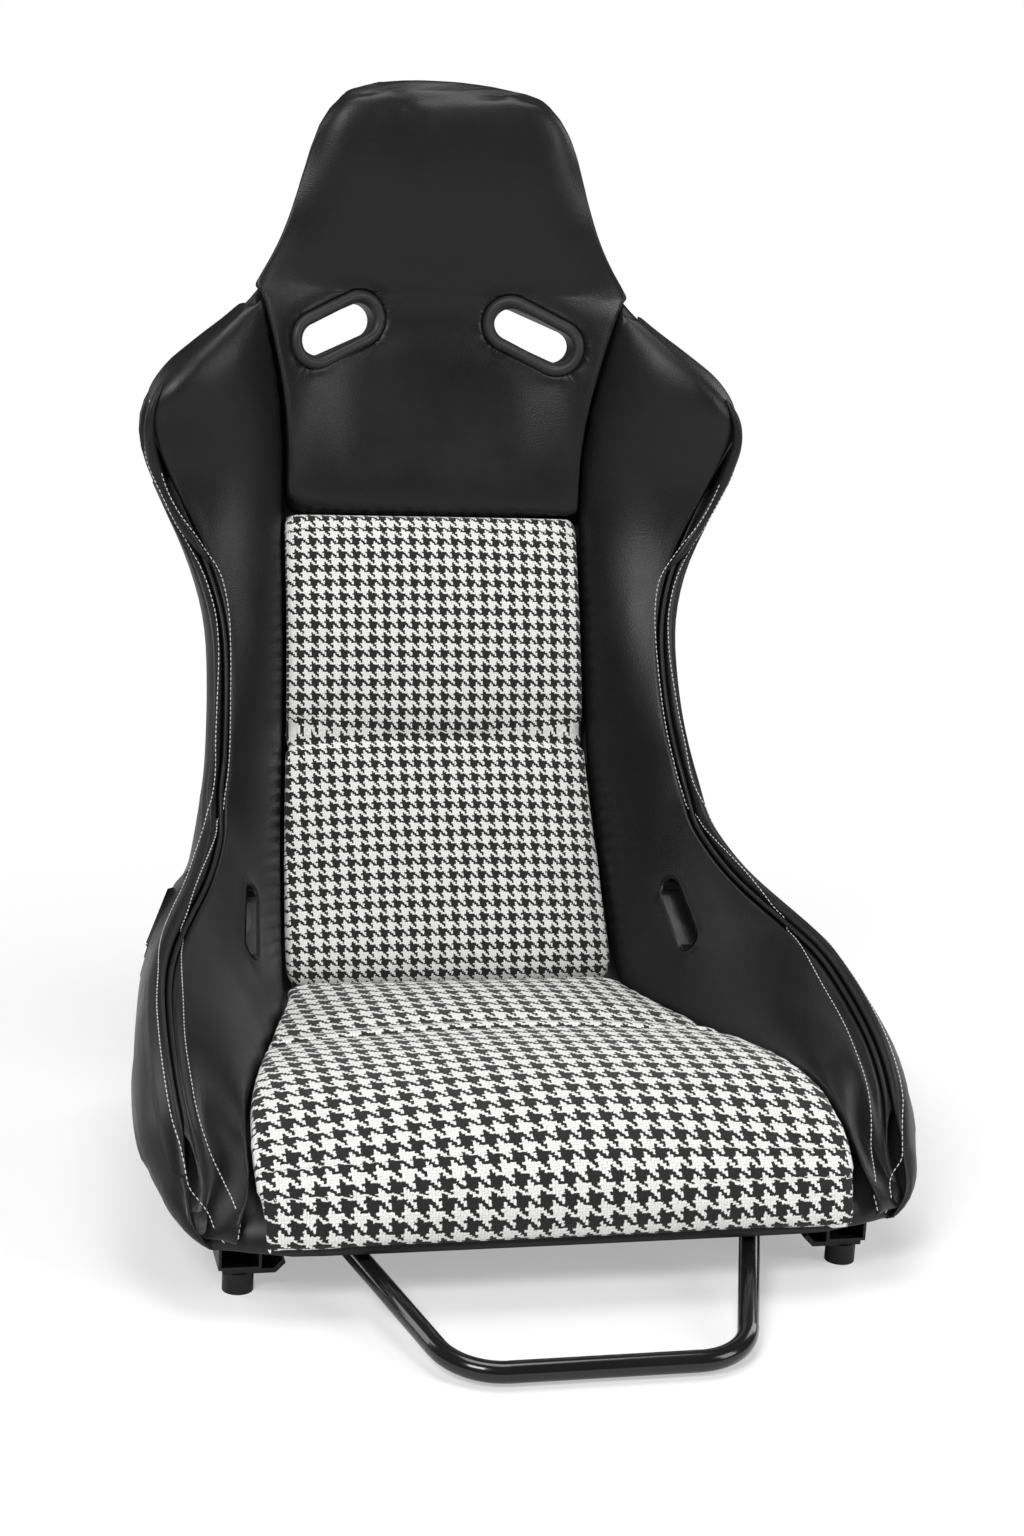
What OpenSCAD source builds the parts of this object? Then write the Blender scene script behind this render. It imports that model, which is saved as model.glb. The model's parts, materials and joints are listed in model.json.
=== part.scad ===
// Fixed-back racing bucket seat on slide rails with a sprung release bar.
// Millimetres. +Z up, the sitter faces -Y, x = 0 is the plane of symmetry, z = 0 the floor.
// y = 0 lies midway between the front and rear feet. Left and right are the sitter's, so left is +X.

/* [Shell] */
// Greatest width across the hips
shell_w = 582; // [566:2:610]
// Height of the head above the floor
back_h = 824; // [800:4:880]
// Wall of the moulded shell
shell_t = 5; // [4:0.5:6]

/* [Upholstery] */
// Clearance between neighbouring upholstery pieces
pad_gap = 0.4; // [0.3:0.1:0.8]
// Thickness of the hook-and-loop tapes under the cushions
tape_t = 2; // [1.5:0.5:3]
// Depth of the sewn cross channels in both cushions
channel_d = 7; // [4:1:10]
// Width of the sewn cross channels
channel_w = 12; // [8:1:18]
// Radius of the rounded cushion edges
edge_r = 11; // [8:1:14]
// Thickness of the leather cap over the shell's rim
trim_t = 2.2; // [1.6:0.2:3]
// Depth of that cap down the outside of the shell
trim_leg = 14; // [10:1:18]
// Radius of the piped welt beside the cap
welt_r = 2.4; // [2:0.2:3]

/* [Shoulder belt slots] */
// Length of the clear slot
slot_l = 73; // [66:1:80]
// Height of the clear slot
slot_w = 28; // [24:1:32]
// Middle of the slot from the plane of symmetry
slot_x = 85.5; // [80:0.5:92]
// Height of the slot's middle above the floor
slot_z = 612; // [604:1:620]
// Downward slope of the slot towards the shoulder, in degrees
slot_slope = 24; // [18:1:30]
// Width of the bezel's rounded lip
lip_w = 10; // [8:0.5:12]
// Wall of the bezel's sleeve
sleeve_t = 2.5; // [2:0.5:3]

/* [Lap belt slots] */
// Length of the clear slot
lap_l = 62; // [52:1:68]
// Width of the clear slot
lap_w = 13; // [10:1:16]
// Width of the trim's rim
lap_rim = 5; // [4:0.5:7]

/* [Slide rails] */
// Distance between the rails' centre lines
rail_spacing = 444; // [430:2:456]
// Length of the lower rails
rail_l = 380; // [380:5:420]
// Width of the lower rails
rail_w = 30; // [30:1:34]
// Height of the lower rails
rail_h = 18; // [16:1:20]
// Sheet thickness of both rails
rail_t = 2; // [1.6:0.2:2.4]
// Fore and aft travel each way from the middle
travel = 80; // [60:5:90]
// Length of the upper rails
upper_l = 300; // [290:5:330]

/* [Feet] */
// Distance between the front and rear floor bolts
foot_spacing = 360; // [340:5:370]
// Height of the floor spacers
foot_h = 15; // [14:1:20]
// Diameter of the floor spacers
foot_d = 22; // [20:1:26]
// Clearance hole for the floor bolts
bolt_hole = 8.5; // [8.4:0.1:9]

/* [Release bar] */
// Diameter of the tube
tube_d = 15; // [13:0.5:16]
// Width of the front run between its bent corners
bar_w = 196; // [170:2:220]
// Reach of the bar in front of its pivots
bar_reach = 204; // [190:2:215]
// Drop of the front run below the pivots
bar_drop = 31; // [26:1:32]
// Bend radius at the front corners
bar_bend = 45; // [35:1:55]

/* [Hidden] */

// Faces on a full turn of round parts
$fn = 40;

right = -1;
left = 1;
sides = [right, left];
ends = [-1, 1];

// ---------- moulded form ----------
// One station is a cross-section of the seat. Its columns are:
// spine y, spine z, rim y, rim z, rim half width, flank half width, flank set back,
// flank drop, flat half width, half width of the centre panel, pad depth at the panel's edge,
// pad depth at its middle.
SPINE_Y = 0;
SPINE_Z = 1;
RIM_Y = 2;
RIM_Z = 3;
RIM_W = 4;
FLANK_W = 5;
FLANK_BACK = 6;
FLANK_DROP = 7;
FLAT_W = 8;
PANEL_W = 9;
PAD_EDGE = 10;
PAD_MID = 11;
stations = [
  [-227,  43, -214,  47, 231, 246, 18,  0, 178, 211,  6,  8], // front lip
  [-223,  60, -206,  64, 243, 278, 40,  8, 178, 214, 14, 22],
  [-203,  76, -187,  89, 256, 302, 56, 18, 180, 217, 24, 40], // front corner
  [-160,  83, -156, 118, 263, 312, 46, 20, 180, 216, 42, 51],
  [-105,  82, -108, 144, 266, 312, 20, 12, 176, 206, 50, 55], // thighs
  [ -40,  78,  -42, 165, 264, 306,  0,  4, 168, 190, 48, 51],
  [  20,  73,    6, 180, 257, 300,  0,  0, 158, 176, 44, 46], // cross channel of the seat cushion
  [  80,  68,   61, 193, 240, 300,  0,  0, 148, 160, 44, 47],
  [ 140,  68,  108, 210, 219, 292,  0,  0, 136, 145, 42, 43],
  [ 184,  82,  149, 230, 206, 268,  0,  0, 128, 141, 31, 32], // seat cushion meets back cushion
  [ 216, 106,  171, 241, 203, 243,  0,  0, 126, 140, 40, 43],
  [ 246, 140,  192, 261, 201, 228,  0,  0, 124, 138, 44, 49],
  [ 275, 192,  206, 281, 197, 216,  0,  0, 122, 136, 42, 47],
  [ 306, 255,  229, 309, 194, 206,  0,  0, 118, 132, 38, 41], // cross channel of the back cushion
  [ 324, 318,  250, 346, 192, 202,  0,  0, 118, 131, 38, 41],
  [ 342, 380,  272, 388, 194, 203,  0,  0, 117, 130, 37, 40],
  [ 365, 440,  295, 437, 210, 217,  0,  0, 116, 130, 33, 38], // top of the back cushion
  [ 382, 500,  304, 494, 240, 242,  0,  0, 106, 128, 46, 24],
  [ 393, 556,  303, 548, 263, 261,  0,  0, 102, 134, 60, 22], // widest at the shoulders
  [ 399, 602,  304, 588, 243, 243,  0,  0,  98, 144, 66, 24], // belt slots
  [ 402, 632,  333, 628, 189, 191,  0,  0,  92, 152, 70, 26],
  [ 403, 656,  348, 656, 162, 163,  0,  0,  84, 156, 66, 28], // notch between shoulder and head
  [ 403, 692,  356, 690, 141, 142,  0,  0,  76, 138, 62, 30],
  [ 401, 735,  362, 735, 127, 128,  0,  0,  68, 124, 58, 30],
  [ 394, 780,  370, 780, 113, 113,  0,  0,  58, 110, 50, 28],
  [ 385, 806,  372, 804,  94,  94,  0,  0,  46,  91, 40, 24], // top edge of the shell
  [ 376, 817,  370, 815,  62,  62,  0,  0,  30,  60, 24, 16]]; // top of the head
// Named places along the stations
T_SEAT_CHANNEL = 6;
T_JOIN = 9;
T_BACK_CHANNEL = 13.35;
T_PANEL = 16.25;
T_WRAP = 17;
T_WRAPPED = 18.6;
T_NOTCH = 20.7;
T_SHELL = 25;
T_TOP = len(stations) - 1;
// The table was drawn for a shell of this width and height, bent at this hip height
table_w = 582;
table_h = 824;
hip_z = 255;

function widened(w) = w + (shell_w - table_w) / 2;
function raised(z) = z + max(0, z - hip_z) / (table_h - hip_z) * (back_h - table_h);
rows = [for (s = stations) [
  s[SPINE_Y], raised(s[SPINE_Z]), s[RIM_Y], raised(s[RIM_Z]), widened(s[RIM_W]),
  widened(s[FLANK_W]), s[FLANK_BACK], s[FLANK_DROP], widened(s[FLAT_W]), widened(s[PANEL_W]),
  s[PAD_EDGE], s[PAD_MID]]];

function lerp(a, b, f) = a + (b - a) * f;
function clamp01(f) = min(1, max(0, f));
function ease(f) = let(c = clamp01(f)) c * c * (3 - 2 * c);
function unit(v) = v / norm(v);
function mirrored(p, side) = [p[0] * side, p[1], p[2]];
function spread(a, b, count) = [for (i = [0 : count - 1]) lerp(a, b, i / (count - 1))];
function blend4(a, b, c, d, f) =
  0.5 * (2 * b + (c - a) * f + (2 * a - 5 * b + 4 * c - d) * f * f
         + (3 * b - a - 3 * c + d) * f * f * f);
function row_at(t) =
  let(s = min(max(t, 0), T_TOP), i = min(floor(s), T_TOP - 1))
  blend4(rows[max(i - 1, 0)], rows[i], rows[i + 1], rows[min(i + 2, T_TOP)], s - i);

// The shell's inner face. w runs from 0 on the spine to 1 on the rim.
FLAT_SHARE = 0.36;
// How far the padded edge stands outside the shell's rim where the leather wraps round it
wrap_out = 12;
function wrap_at(t) = ease((t - T_WRAP) / (T_WRAPPED - T_WRAP));
function bezier(a, b, c, d, f) =
  let(g = 1 - f) g * g * g * a + 3 * g * g * f * b + 3 * g * f * f * c + f * f * f * d;
// Behind the belt slots the shell slopes forwards like the panel in front of it
function sloped(t) = ease((t - 17) / 1.5) * (1 - ease((t - 20) / 1.5));
function shell_in(t, w) =
  let(
    r = row_at(t), tuck = wrap_out * wrap_at(t), slope = sloped(t), front = ease(1 - t / 3),
    rim_x = r[RIM_W] - tuck, flank_x = r[FLANK_W] - tuck - 50 * slope,
    flat_x = min(lerp(r[FLAT_W], 45, slope), rim_x - 12),
    spine = [0, r[SPINE_Y], r[SPINE_Z]], rim = [0, r[RIM_Y], r[RIM_Z]],
    turn = lerp(spine, rim, 0.15 * slope)
      + [lerp(flat_x, flank_x, 0.75 - 0.3 * front - 0.25 * slope), 0, 0],
    flank = lerp(spine, rim, 0.5 + 0.2 * slope) + [flank_x, r[FLANK_BACK], -r[FLANK_DROP]])
  w <= FLAT_SHARE
    ? spine + [flat_x * w / FLAT_SHARE, 0, 0]
    : bezier(spine + [flat_x, 0, 0], turn, flank, rim + [rim_x, 0, 0],
             (w - FLAT_SHARE) / (1 - FLAT_SHARE));
STEP = 0.02;
function t_low(t) = max(t - STEP, 0);
function t_high(t) = min(t + STEP, T_TOP);
function along(t, w) = unit(shell_in(t_high(t), w) - shell_in(t_low(t), w));
function across(t, w) = unit(shell_in(t, min(w + STEP, 1)) - shell_in(t, max(w - STEP, 0)));
// Points from the shell towards the sitter
function normal_in(t, w) =
  w < STEP ? let(a = along(t, 0)) [0, -a[2], a[1]] : unit(cross(across(t, w), along(t, w)));
function shell_at(t, w, lift) = shell_in(t, w) + normal_in(t, w) * lift;
// The shell is built through these rows and columns, and whatever lies against it
// takes its places from the same facets
ROW_STEP = 0.5;
SHELL_COLUMNS = 9;
function shell_column(row, w, lift) =
  let(s = min(abs(w), 1) * SHELL_COLUMNS, i = min(floor(s), SHELL_COLUMNS - 1))
  lerp(shell_at(row, i / SHELL_COLUMNS, lift), shell_at(row, (i + 1) / SHELL_COLUMNS, lift), s - i);
// Place across the shell a distance below the rim
function w_below(t, distance) =
  1 - distance / SHELL_COLUMNS / norm(shell_in(t, 1) - shell_in(t, 1 - 1 / SHELL_COLUMNS));
function on_shell(t, w, lift) =
  let(s = t / ROW_STEP, i = floor(s), low = i * ROW_STEP, high = min(low + ROW_STEP, T_TOP))
  lerp(shell_column(low, w, lift), shell_column(high, w, lift), s - i);

// Place across the shell where it has reached the half width x
function w_at(t, x, low = 0, high = 1, tries = 12) =
  tries == 0 ? (low + high) / 2
  : let(mid = (low + high) / 2)
    shell_in(t, mid)[0] < x ? w_at(t, x, mid, high, tries - 1) : w_at(t, x, low, mid, tries - 1);
// Station at which the spine has reached a height on the back, or a y on the pan
function t_of_z(z, low = T_JOIN, high = T_TOP, tries = 14) =
  tries == 0 ? (low + high) / 2
  : let(mid = (low + high) / 2)
    row_at(mid)[SPINE_Z] < z ? t_of_z(z, mid, high, tries - 1) : t_of_z(z, low, mid, tries - 1);
function t_of_y(y, low = 0, high = T_JOIN, tries = 14) =
  tries == 0 ? (low + high) / 2
  : let(mid = (low + high) / 2)
    row_at(mid)[SPINE_Y] < y ? t_of_y(y, mid, high, tries - 1) : t_of_y(y, low, mid, tries - 1);

// A closed solid through rings of points that all have the same count
module loft(rings) {
  count = len(rings[0]);
  last = len(rings) - 1;
  points = [for (ring = rings) each ring];
  walls = [for (i = [0 : last - 1], j = [0 : count - 1])
    let(k = (j + 1) % count, a = i * count, b = a + count,
        rising = norm(points[a + j] - points[b + k]), falling = norm(points[a + k] - points[b + j]))
    each rising < falling - 0.001
      ? [[a + j, b + j, b + k], [a + j, b + k, a + k]]
      : [[a + j, b + j, a + k], [a + k, b + j, b + k]]];
  // Each end is closed by a strip that joins the two halves of its ring
  half = floor(count / 2);
  caps = [for (end = [0, last], j = [0 : half - 1])
    let(a = end * count, p = a + j, q = a + j + 1, s = a + count - 1 - j, u = s - 1,
        strip = q < u ? [[p, s, q], [q, s, u]] : q == u ? [[p, s, q]] : [])
    each [for (f = strip) end == 0 ? [f[0], f[2], f[1]] : f]];
  polyhedron(points, concat(walls, caps));
}

// ---------- upholstery ----------
// Depth of a cushion or centre panel at the half width x
function crown(share) = 1 - share * share * (2 - share * share);
// Space left between the shell and whatever is glued to it
seat_gap = 0.4;
function channel(t, at, spacing) =
  let(off = (t - at) * spacing / (channel_w / 2)) channel_d * exp(-off * off);
back_floor = tape_t + 2 * 0.15;
// Millimetres of spine per station beside the two channels
seat_pitch = 60;
back_pitch = 63;
function cushion_depth(t, x) =
  let(r = row_at(t), s = abs(x) / r[PANEL_W])
  lerp(r[PAD_EDGE], r[PAD_MID], crown(s))
  - channel(t, T_SEAT_CHANNEL, seat_pitch) - channel(t, T_BACK_CHANNEL, back_pitch);
// Lift of the panel between the wing pads, hollow behind the shoulders
function panel_depth(t, x) =
  let(r = row_at(t), s = abs(x) / r[PANEL_W]) lerp(r[PAD_MID], r[PAD_EDGE], s * s * s);
function on_spine(t, x, depth) =
  let(r = row_at(t), n = normal_in(t, 0)) [x, r[SPINE_Y] + n[1] * depth, r[SPINE_Z] + n[2] * depth];

// A cushion lies on the flat of the shell between two stations, with rounded, drawn-in edges
module cushion(t0, t1, crease, pitch, draw0, draw1) {
  columns = 4;
  round_in = [0, 0.06, 0.2, 0.45, 0.75];
  near_crease = [for (i = [-4 : 4]) crease + i * channel_w * 0.24 / pitch];
  plain = [for (t = [ceil((t0 + draw0) * 2) / 2 : ROW_STEP : t1 - draw1])
    if (t < near_crease[0] - 0.1 || t > near_crease[8] + 0.1) t];
  stations_low = [for (t = plain) if (t < crease) t];
  stations_high = [for (t = plain) if (t > crease) t];
  loft([for (t = concat(
      [for (f = round_in) t0 + f * draw0], stations_low, near_crease, stations_high,
      [for (i = [4 : -1 : 0]) t1 - round_in[i] * draw1]))
    let(
      r = row_at(t),
      half = r[PANEL_W] - pad_gap,
      near = min(clamp01((t - t0) / draw0), clamp01((t1 - t) / draw1)),
      round = sqrt(max(0, 1 - (1 - near) * (1 - near))),
      drop = lerp(edge_r, 0, round),
      top = [for (i = [-columns : columns])
        let(x = i / columns * (half - edge_r * 0.9))
        [x, max(cushion_depth(t, x) - drop, back_floor + 3)]],
      edge = top[2 * columns][1],
      side_low = max(edge - edge_r, back_floor + 1.5),
      outline = concat(
        [[-half, side_low], [-half + edge_r * 0.25, lerp(edge, side_low, 0.35)]],
        top,
        [[half - edge_r * 0.25, lerp(edge, side_low, 0.35)], [half, side_low]]))
    concat(
      [for (p = outline) on_spine(t, p[0], p[1])],
      [for (w = spread(half - 1.5, -half + 1.5, len(outline)))
        let(p = on_shell(t, w_at(t, abs(w) - 1), back_floor + clamp01(2 - t) * 1.5))
        [sign(w) * p[0], p[1], p[2]]])]);
}

// Depth of the cap down the shell, less at the low front corner
function leg_at(t) = trim_leg * lerp(0.2, 1, ease((t - 0.5) / 2));
// The wing's back stands a little further off at its ends and where the cap gives way to leather
function wing_gap(t) = seat_gap + 0.6 * clamp01(t - 3) + 1.6 * clamp01(2.2 - abs(t - 17.25) * 2)
  + clamp01(1.5 - t) + clamp01((t - 19.4) * 2);
// Rim of a wing pad, from the crest inwards and back down to the shell.
// Each pair is the place beside a bare rim and the place where the leather wraps round it.
function rim_edge(t) =
  let(
    f = wrap_at(t), up = ease(f * 2), out = ease(f * 2 - 1), beside = trim_t + 2 * welt_r + 1.2,
    thin = 1 - 0.7 * ease((t - T_WRAPPED) / (T_NOTCH - T_WRAPPED)),
    at = shell_in(t, 1), n = normal_in(t, 1), a = across(t, 1),
    corner = ease((t - 0.5) / 1.5), leg = leg_at(t),
    dip = 1 - ease((t - 1.5) / 2),
    bare = [[beside + 9, 2 + 5 * dip], [beside + 4, 4 + 4 * dip], [beside, 2],
            [beside, -leg * 0.4], [beside, -leg]],
    wrapped = [[22 * thin, 6], [14 * thin, 11 * thin], [3, 12 * thin], [-shell_t - 2, 9],
               [-shell_t - 2, 0.4]],
    tip = [[8, -4], [7.5, -2], [6.5, -1], [5.5, -2], [5, -3]],
    places = [for (i = [0 : 4])
      let(b = lerp(tip[i], bare[i], corner), w = wrapped[i])
      i < 2 ? lerp(b, w, f) : [lerp(b[0], w[0], out), lerp(b[1], w[1], up)]])
  concat([for (p = places) at + n * p[0] + a * p[1]],
         [lerp(on_shell(t, w_below(t, leg + 1), wing_gap(t)), at + (n + a) * wing_gap(t), up)]);

WING_START = 0.5;
WING_END = T_NOTCH - 0.35;
wing_columns = 7;
// Padded inner face of a wing, from the seam at the cushion (f = 0) to the rim's crest (f = 1)
function wing_low(t) =
  let(r = row_at(t), sink = t < T_PANEL ? 5 : 1)
  on_spine(t, r[PANEL_W] + pad_gap, max(r[PAD_EDGE] - sink, 4));
function wing_face(t, f) =
  let(low = wing_low(t), high = rim_edge(t)[0],
      bulge = norm(high - low) * 0.1 + 8 * ease(1 - t / 3),
      out = unit(normal_in(t, w_at(t, low[0])) + normal_in(t, 0)) * bulge)
  lerp(low, high, f) + out * 4 * f * (1 - f);
module wing_form() {
  loft([for (t = concat([for (at = [WING_START : ROW_STEP : 20]) at], [WING_END]))
    let(
      r = row_at(t),
      low = wing_low(t),
      w_low = w_at(t, low[0] + 3.6),
      foot = lerp(on_shell(t, w_low, seat_gap), low, 0.45) - [1, 0, 0],
      w_high = lerp(w_below(t, leg_at(t) + 3), 0.985, wrap_at(t)),
      edge = rim_edge(t))
    concat(
      [foot],
      [for (f = spread(0, 1, wing_columns)) wing_face(t, f)],
      [for (i = [1 : 5]) edge[i]],
      [for (w = spread(w_high, w_low, wing_columns)) on_shell(t, w, wing_gap(t))])]);
}

// Head and upper back in one padded piece: a hollow panel between the shoulders that
// widens above the notch and wraps round the edge of the shell
head_arch = 4;
module head_form() {
  columns = 5;
  loft([for (t = concat([T_PANEL], [for (i = [33 : 41]) i * ROW_STEP], [T_NOTCH - 0.05],
                        [T_NOTCH + 0.15], [for (i = [42 : 50]) i * ROW_STEP],
                        spread(T_SHELL + 0.3, T_TOP, 4)))
    let(
      r = row_at(t),
      free = t > T_NOTCH ? 1 : 0,
      half = free == 1 ? r[RIM_W] : r[PANEL_W] - pad_gap,
      start = clamp01((t - T_PANEL) / 0.16),
      end = clamp01((T_TOP - t) / 0.9),
      soft = free == 1 ? 15 : 2,
      reach = half - soft,
      full = 0.6 + 0.4 * sqrt(end),
      rim = shell_in(t, 1),
      spine = [0, r[SPINE_Y], r[SPINE_Z]],
      square_on = normal_in(t, 0),
      n = unit(lerp(square_on, [0, -1, -0.1], ease((t - 22) / 3))),
      brim = (rim - spine) * n,
      lip = max(full * panel_depth(t, reach) - 5 * (1 - start), free * (brim + 2)),
      top = [for (i = [-columns : columns])
        let(x = i / columns * reach)
        spine + [x, 0, 0] + n * (abs(i) == columns ? lip : full * panel_depth(t, x) - 5 * (1 - start))],
      w_edge = w_at(t, half - 3),
      inner = on_shell(t, w_edge, seat_gap),
      panel_side = spine + [half, 0, 0] + n * max(lip - 3, 4),
      over = t > T_SHELL + 0.01 ? -shell_t - 1
        : seat_gap + 0.5 * clamp01(t - T_PANEL)
          + max(1.5 * clamp01(2.2 - abs(t - 20.75) * 2), clamp01((t - 23.5) / 1.5)),
      beyond = over < 0 ? 5 : 0,
      edge = free == 1
        ? [spine + [half - 7, 0, 0] + n * max(lip - 3, brim + 9),
           spine + [half - 2, 0, 0] + n * max(lip - 9, brim + 6),
           rim + [half - rim[0], 0, 0] + square_on * (2.5 + over / 2),
           rim + [6 + beyond, 0, 0] + square_on * (0.6 + over),
           rim + [beyond, 0, 0] + square_on * over]
        : [for (f = [0, 0.25, 0.5, 0.75, 1]) lerp(panel_side, inner, f)],
      w_from = free == 1 ? 0.985 : w_edge,
      mirrored_edge = [for (i = [len(edge) - 1 : -1 : 0]) mirrored(edge[i], right)],
      back = [for (w = spread(w_from, -w_from, 2 * columns + 1))
        let(p = over > 0 ? on_shell(t, w, over) : shell_in(t, abs(w)) + square_on * over)
        [sign(w) * p[0], p[1], p[2]]],
      arch = head_arch * clamp01((t - T_SHELL) / (T_TOP - T_SHELL)))
    [for (p = concat(mirrored_edge, top, edge, back))
      p + [0, 0, arch * max(0, 1 - pow(p[0] / row_at(T_TOP)[RIM_W], 2))]]]);
}

// ---------- belt slots ----------
// Stadium outline along x: the clear length and width, grown by an offset all round
module stadium(length, width, grow = 0) {
  r = width / 2 + grow;
  run = (length - width) / 2;
  for (e = ends) translate([e * run, 0]) circle(r = r);
  square([2 * run, 2 * r], center = true);
}
// A closed bead of one profile round a stadium. The profile's x is the distance outside
// the clear opening and its y is the height.
module stadium_bead(length, width) {
  run = (length - width) / 2;
  for (e = ends) translate([e * run, 0, 0]) rotate([0, 0, -e * 90])
    rotate_extrude(angle = 180) translate([width / 2, 0]) children();
  for (flip = [0, 1]) mirror([0, flip, 0]) translate([-run, 0, 0]) rotate([90, 0, 90])
    linear_extrude(height = 2 * run) translate([width / 2, 0]) children();
}

t_slot = t_of_z(raised(slot_z));
slot_seat = on_spine(t_slot, slot_x, panel_depth(t_slot, slot_x));
// The bezels face forwards and a little inwards, square to the hollow panel, while the
// belt's way through them runs straight back
slot_toe = 18;
slot_lean = atan2(normal_in(t_slot, 0)[2], -normal_in(t_slot, 0)[1]);
module at_slot(side, lift = 0, seat = slot_seat, toe = slot_toe) {
  translate(mirrored(seat, side)) rotate([90 - slot_lean, 0, -side * toe])
    rotate([0, 0, -side * slot_slope]) translate([0, 0, lift]) children();
}
slot_through = 160;
module slot_tunnel(side, grow) {
  at_slot(side, -slot_through / 2, slot_seat, 0) linear_extrude(height = slot_through)
    stadium(slot_l * cos(slot_toe), slot_w, grow);
}

// Lap slot frame: x along the slot, y across it, z out of the padded face.
// Both ends are given as a station and a share of the wing's face.
LAP_UPPER = [9.1, 0.67];
LAP_LOWER = [7.3, 0.42];
lap_mid = (LAP_UPPER + LAP_LOWER) / 2;
lap_at = wing_face(lap_mid[0], lap_mid[1]);
lap_long = unit(wing_face(LAP_UPPER[0], LAP_UPPER[1]) - wing_face(LAP_LOWER[0], LAP_LOWER[1]));
lap_out = unit(cross(wing_face(lap_mid[0], lap_mid[1] + 0.2) - wing_face(lap_mid[0], lap_mid[1] - 0.2),
                     wing_face(lap_mid[0] + 0.5, lap_mid[1]) - wing_face(lap_mid[0] - 0.5, lap_mid[1])));
lap_wide = unit(cross(lap_out, lap_long));
module at_lap(side, lift = 0) {
  mirror([side < 0 ? 1 : 0, 0, 0])
    multmatrix([for (i = [0 : 2]) [lap_long[i], lap_wide[i], lap_out[i], lap_at[i]]])
      translate([0, 0, lift]) children();
}
// The belt's way from there runs straight out to the side: local z is away from the sitter
lap_turn = atan2(lap_long[2], lap_long[1]);
lap_way_l = lap_l * norm([lap_long[1], lap_long[2]]);
lap_way_w = lap_w * norm([lap_wide[1], lap_wide[2]]);
lap_before = 30;
lap_through = 130;
module at_lap_way(side, lift = 0) {
  mirror([side < 0 ? 1 : 0, 0, 0]) translate([lap_at[0] + lift, lap_at[1], lap_at[2]])
    rotate([lap_turn, 0, 0]) rotate([90, 0, 90]) children();
}
module lap_way(side, grow) {
  at_lap_way(side, -lap_before) linear_extrude(height = lap_through)
    stadium(lap_way_l, lap_way_w, grow);
}

// ---------- shell and soft pieces ----------
fit = 0.3;
// Sleeves, lips and screws of the slot trims
lip_h = 7;
lip_base = -0.5;
lap_sleeve = 1.6;
lap_lip_h = 3.5;
screw_d = 3.5;

// Where the belt's way meets the back of the shell
slot_back = w_at(t_slot, slot_x);
slot_depth = norm(slot_seat - shell_at(t_slot, slot_back, 0)) + shell_t / cos(slot_toe);
rear_seat = slot_seat - normal_in(t_slot, 0) * slot_depth;
rear_normal = normal_in(t_slot, slot_back);
rear_toe = atan2(-rear_normal[0], -rear_normal[1]);
// Frame on the back of the shell, z pointing backwards
module at_rear(side, lift = 0) {
  at_slot(side, 0, rear_seat, rear_toe) mirror([0, 0, 1]) translate([0, 0, lift]) children();
}
rear_clear = sleeve_t + 2.2;
rear_clear_l = (slot_l * cos(slot_toe) + 2 * rear_clear) / cos(rear_toe);
rear_clear_w = slot_w + 2 * rear_clear;
rear_flange = 11;
rear_flange_h = 4;
module at_bezel_screws(side, lift = 0) {
  for (e = ends) at_rear(side, lift) translate([e * (rear_clear_l + rear_flange) / 2, 0, 0])
    children();
}

// Threaded inserts in flat-faced bosses under the pan
insert_x = 120;
insert_y = [-75, 100];
insert_d = 14;
insert_h = 7.5;
boss_d = 32;
boss_drop = 10.5;
boss_top = 2.8;
function pan_z(y) = row_at(t_of_y(y))[SPINE_Z];
boss_z = [for (y = insert_y) pan_z(y) - boss_drop];
module at_inserts(height = [0, 0]) {
  for (side = sides, i = [0, 1]) translate([side * insert_x, insert_y[i], height[i]]) children();
}

module shell_form() {
  shares = spread(-1, 1, 2 * SHELL_COLUMNS + 1);
  loft([for (t = [0 : ROW_STEP : T_SHELL])
    concat(
      [for (w = shares) mirrored(shell_at(t, abs(w), 0), sign(w))],
      [for (i = [len(shares) - 1 : -1 : 0])
        mirrored(shell_at(t, abs(shares[i]), -shell_t), sign(shares[i]))])]);
}
// A flat landing moulded on the back of the shell round each belt slot
landing_h = 9;
module slot_landing(side, grow) {
  at_rear(side, -landing_h - grow) linear_extrude(height = landing_h + grow)
    stadium(rear_clear_l, rear_clear_w, rear_flange + 1 + grow);
}
module shell() {
  color([0.05, 0.05, 0.055]) difference() {
    union() {
      shell_form();
      at_inserts(boss_z) cylinder(d = boss_d, h = boss_drop - boss_top);
      for (side = sides) slot_landing(side, 0);
    }
    for (side = sides) {
      slot_tunnel(side, sleeve_t + fit);
      lap_way(side, lap_sleeve + fit);
      at_bezel_screws(side) cylinder(d = screw_d + 0.2, h = 30, center = true);
      at_rear(side) linear_extrude(height = 20)
        stadium(rear_clear_l, rear_clear_w, rear_flange + 1);
    }
    at_inserts(boss_z) translate([0, 0, -1]) cylinder(d = insert_d, h = insert_h + 1);
  }
}
module wing_pad(side) {
  color([0.07, 0.07, 0.075]) difference() {
    mirror([side < 0 ? 1 : 0, 0, 0]) wing_form();
    lap_way(side, lap_sleeve + fit);
    at_lap(side, lip_base - fit) linear_extrude(height = 40) stadium(lap_l, lap_w, lap_rim + fit);
  }
}
module wing_pad_right() wing_pad(right);
module wing_pad_left() wing_pad(left);
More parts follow.
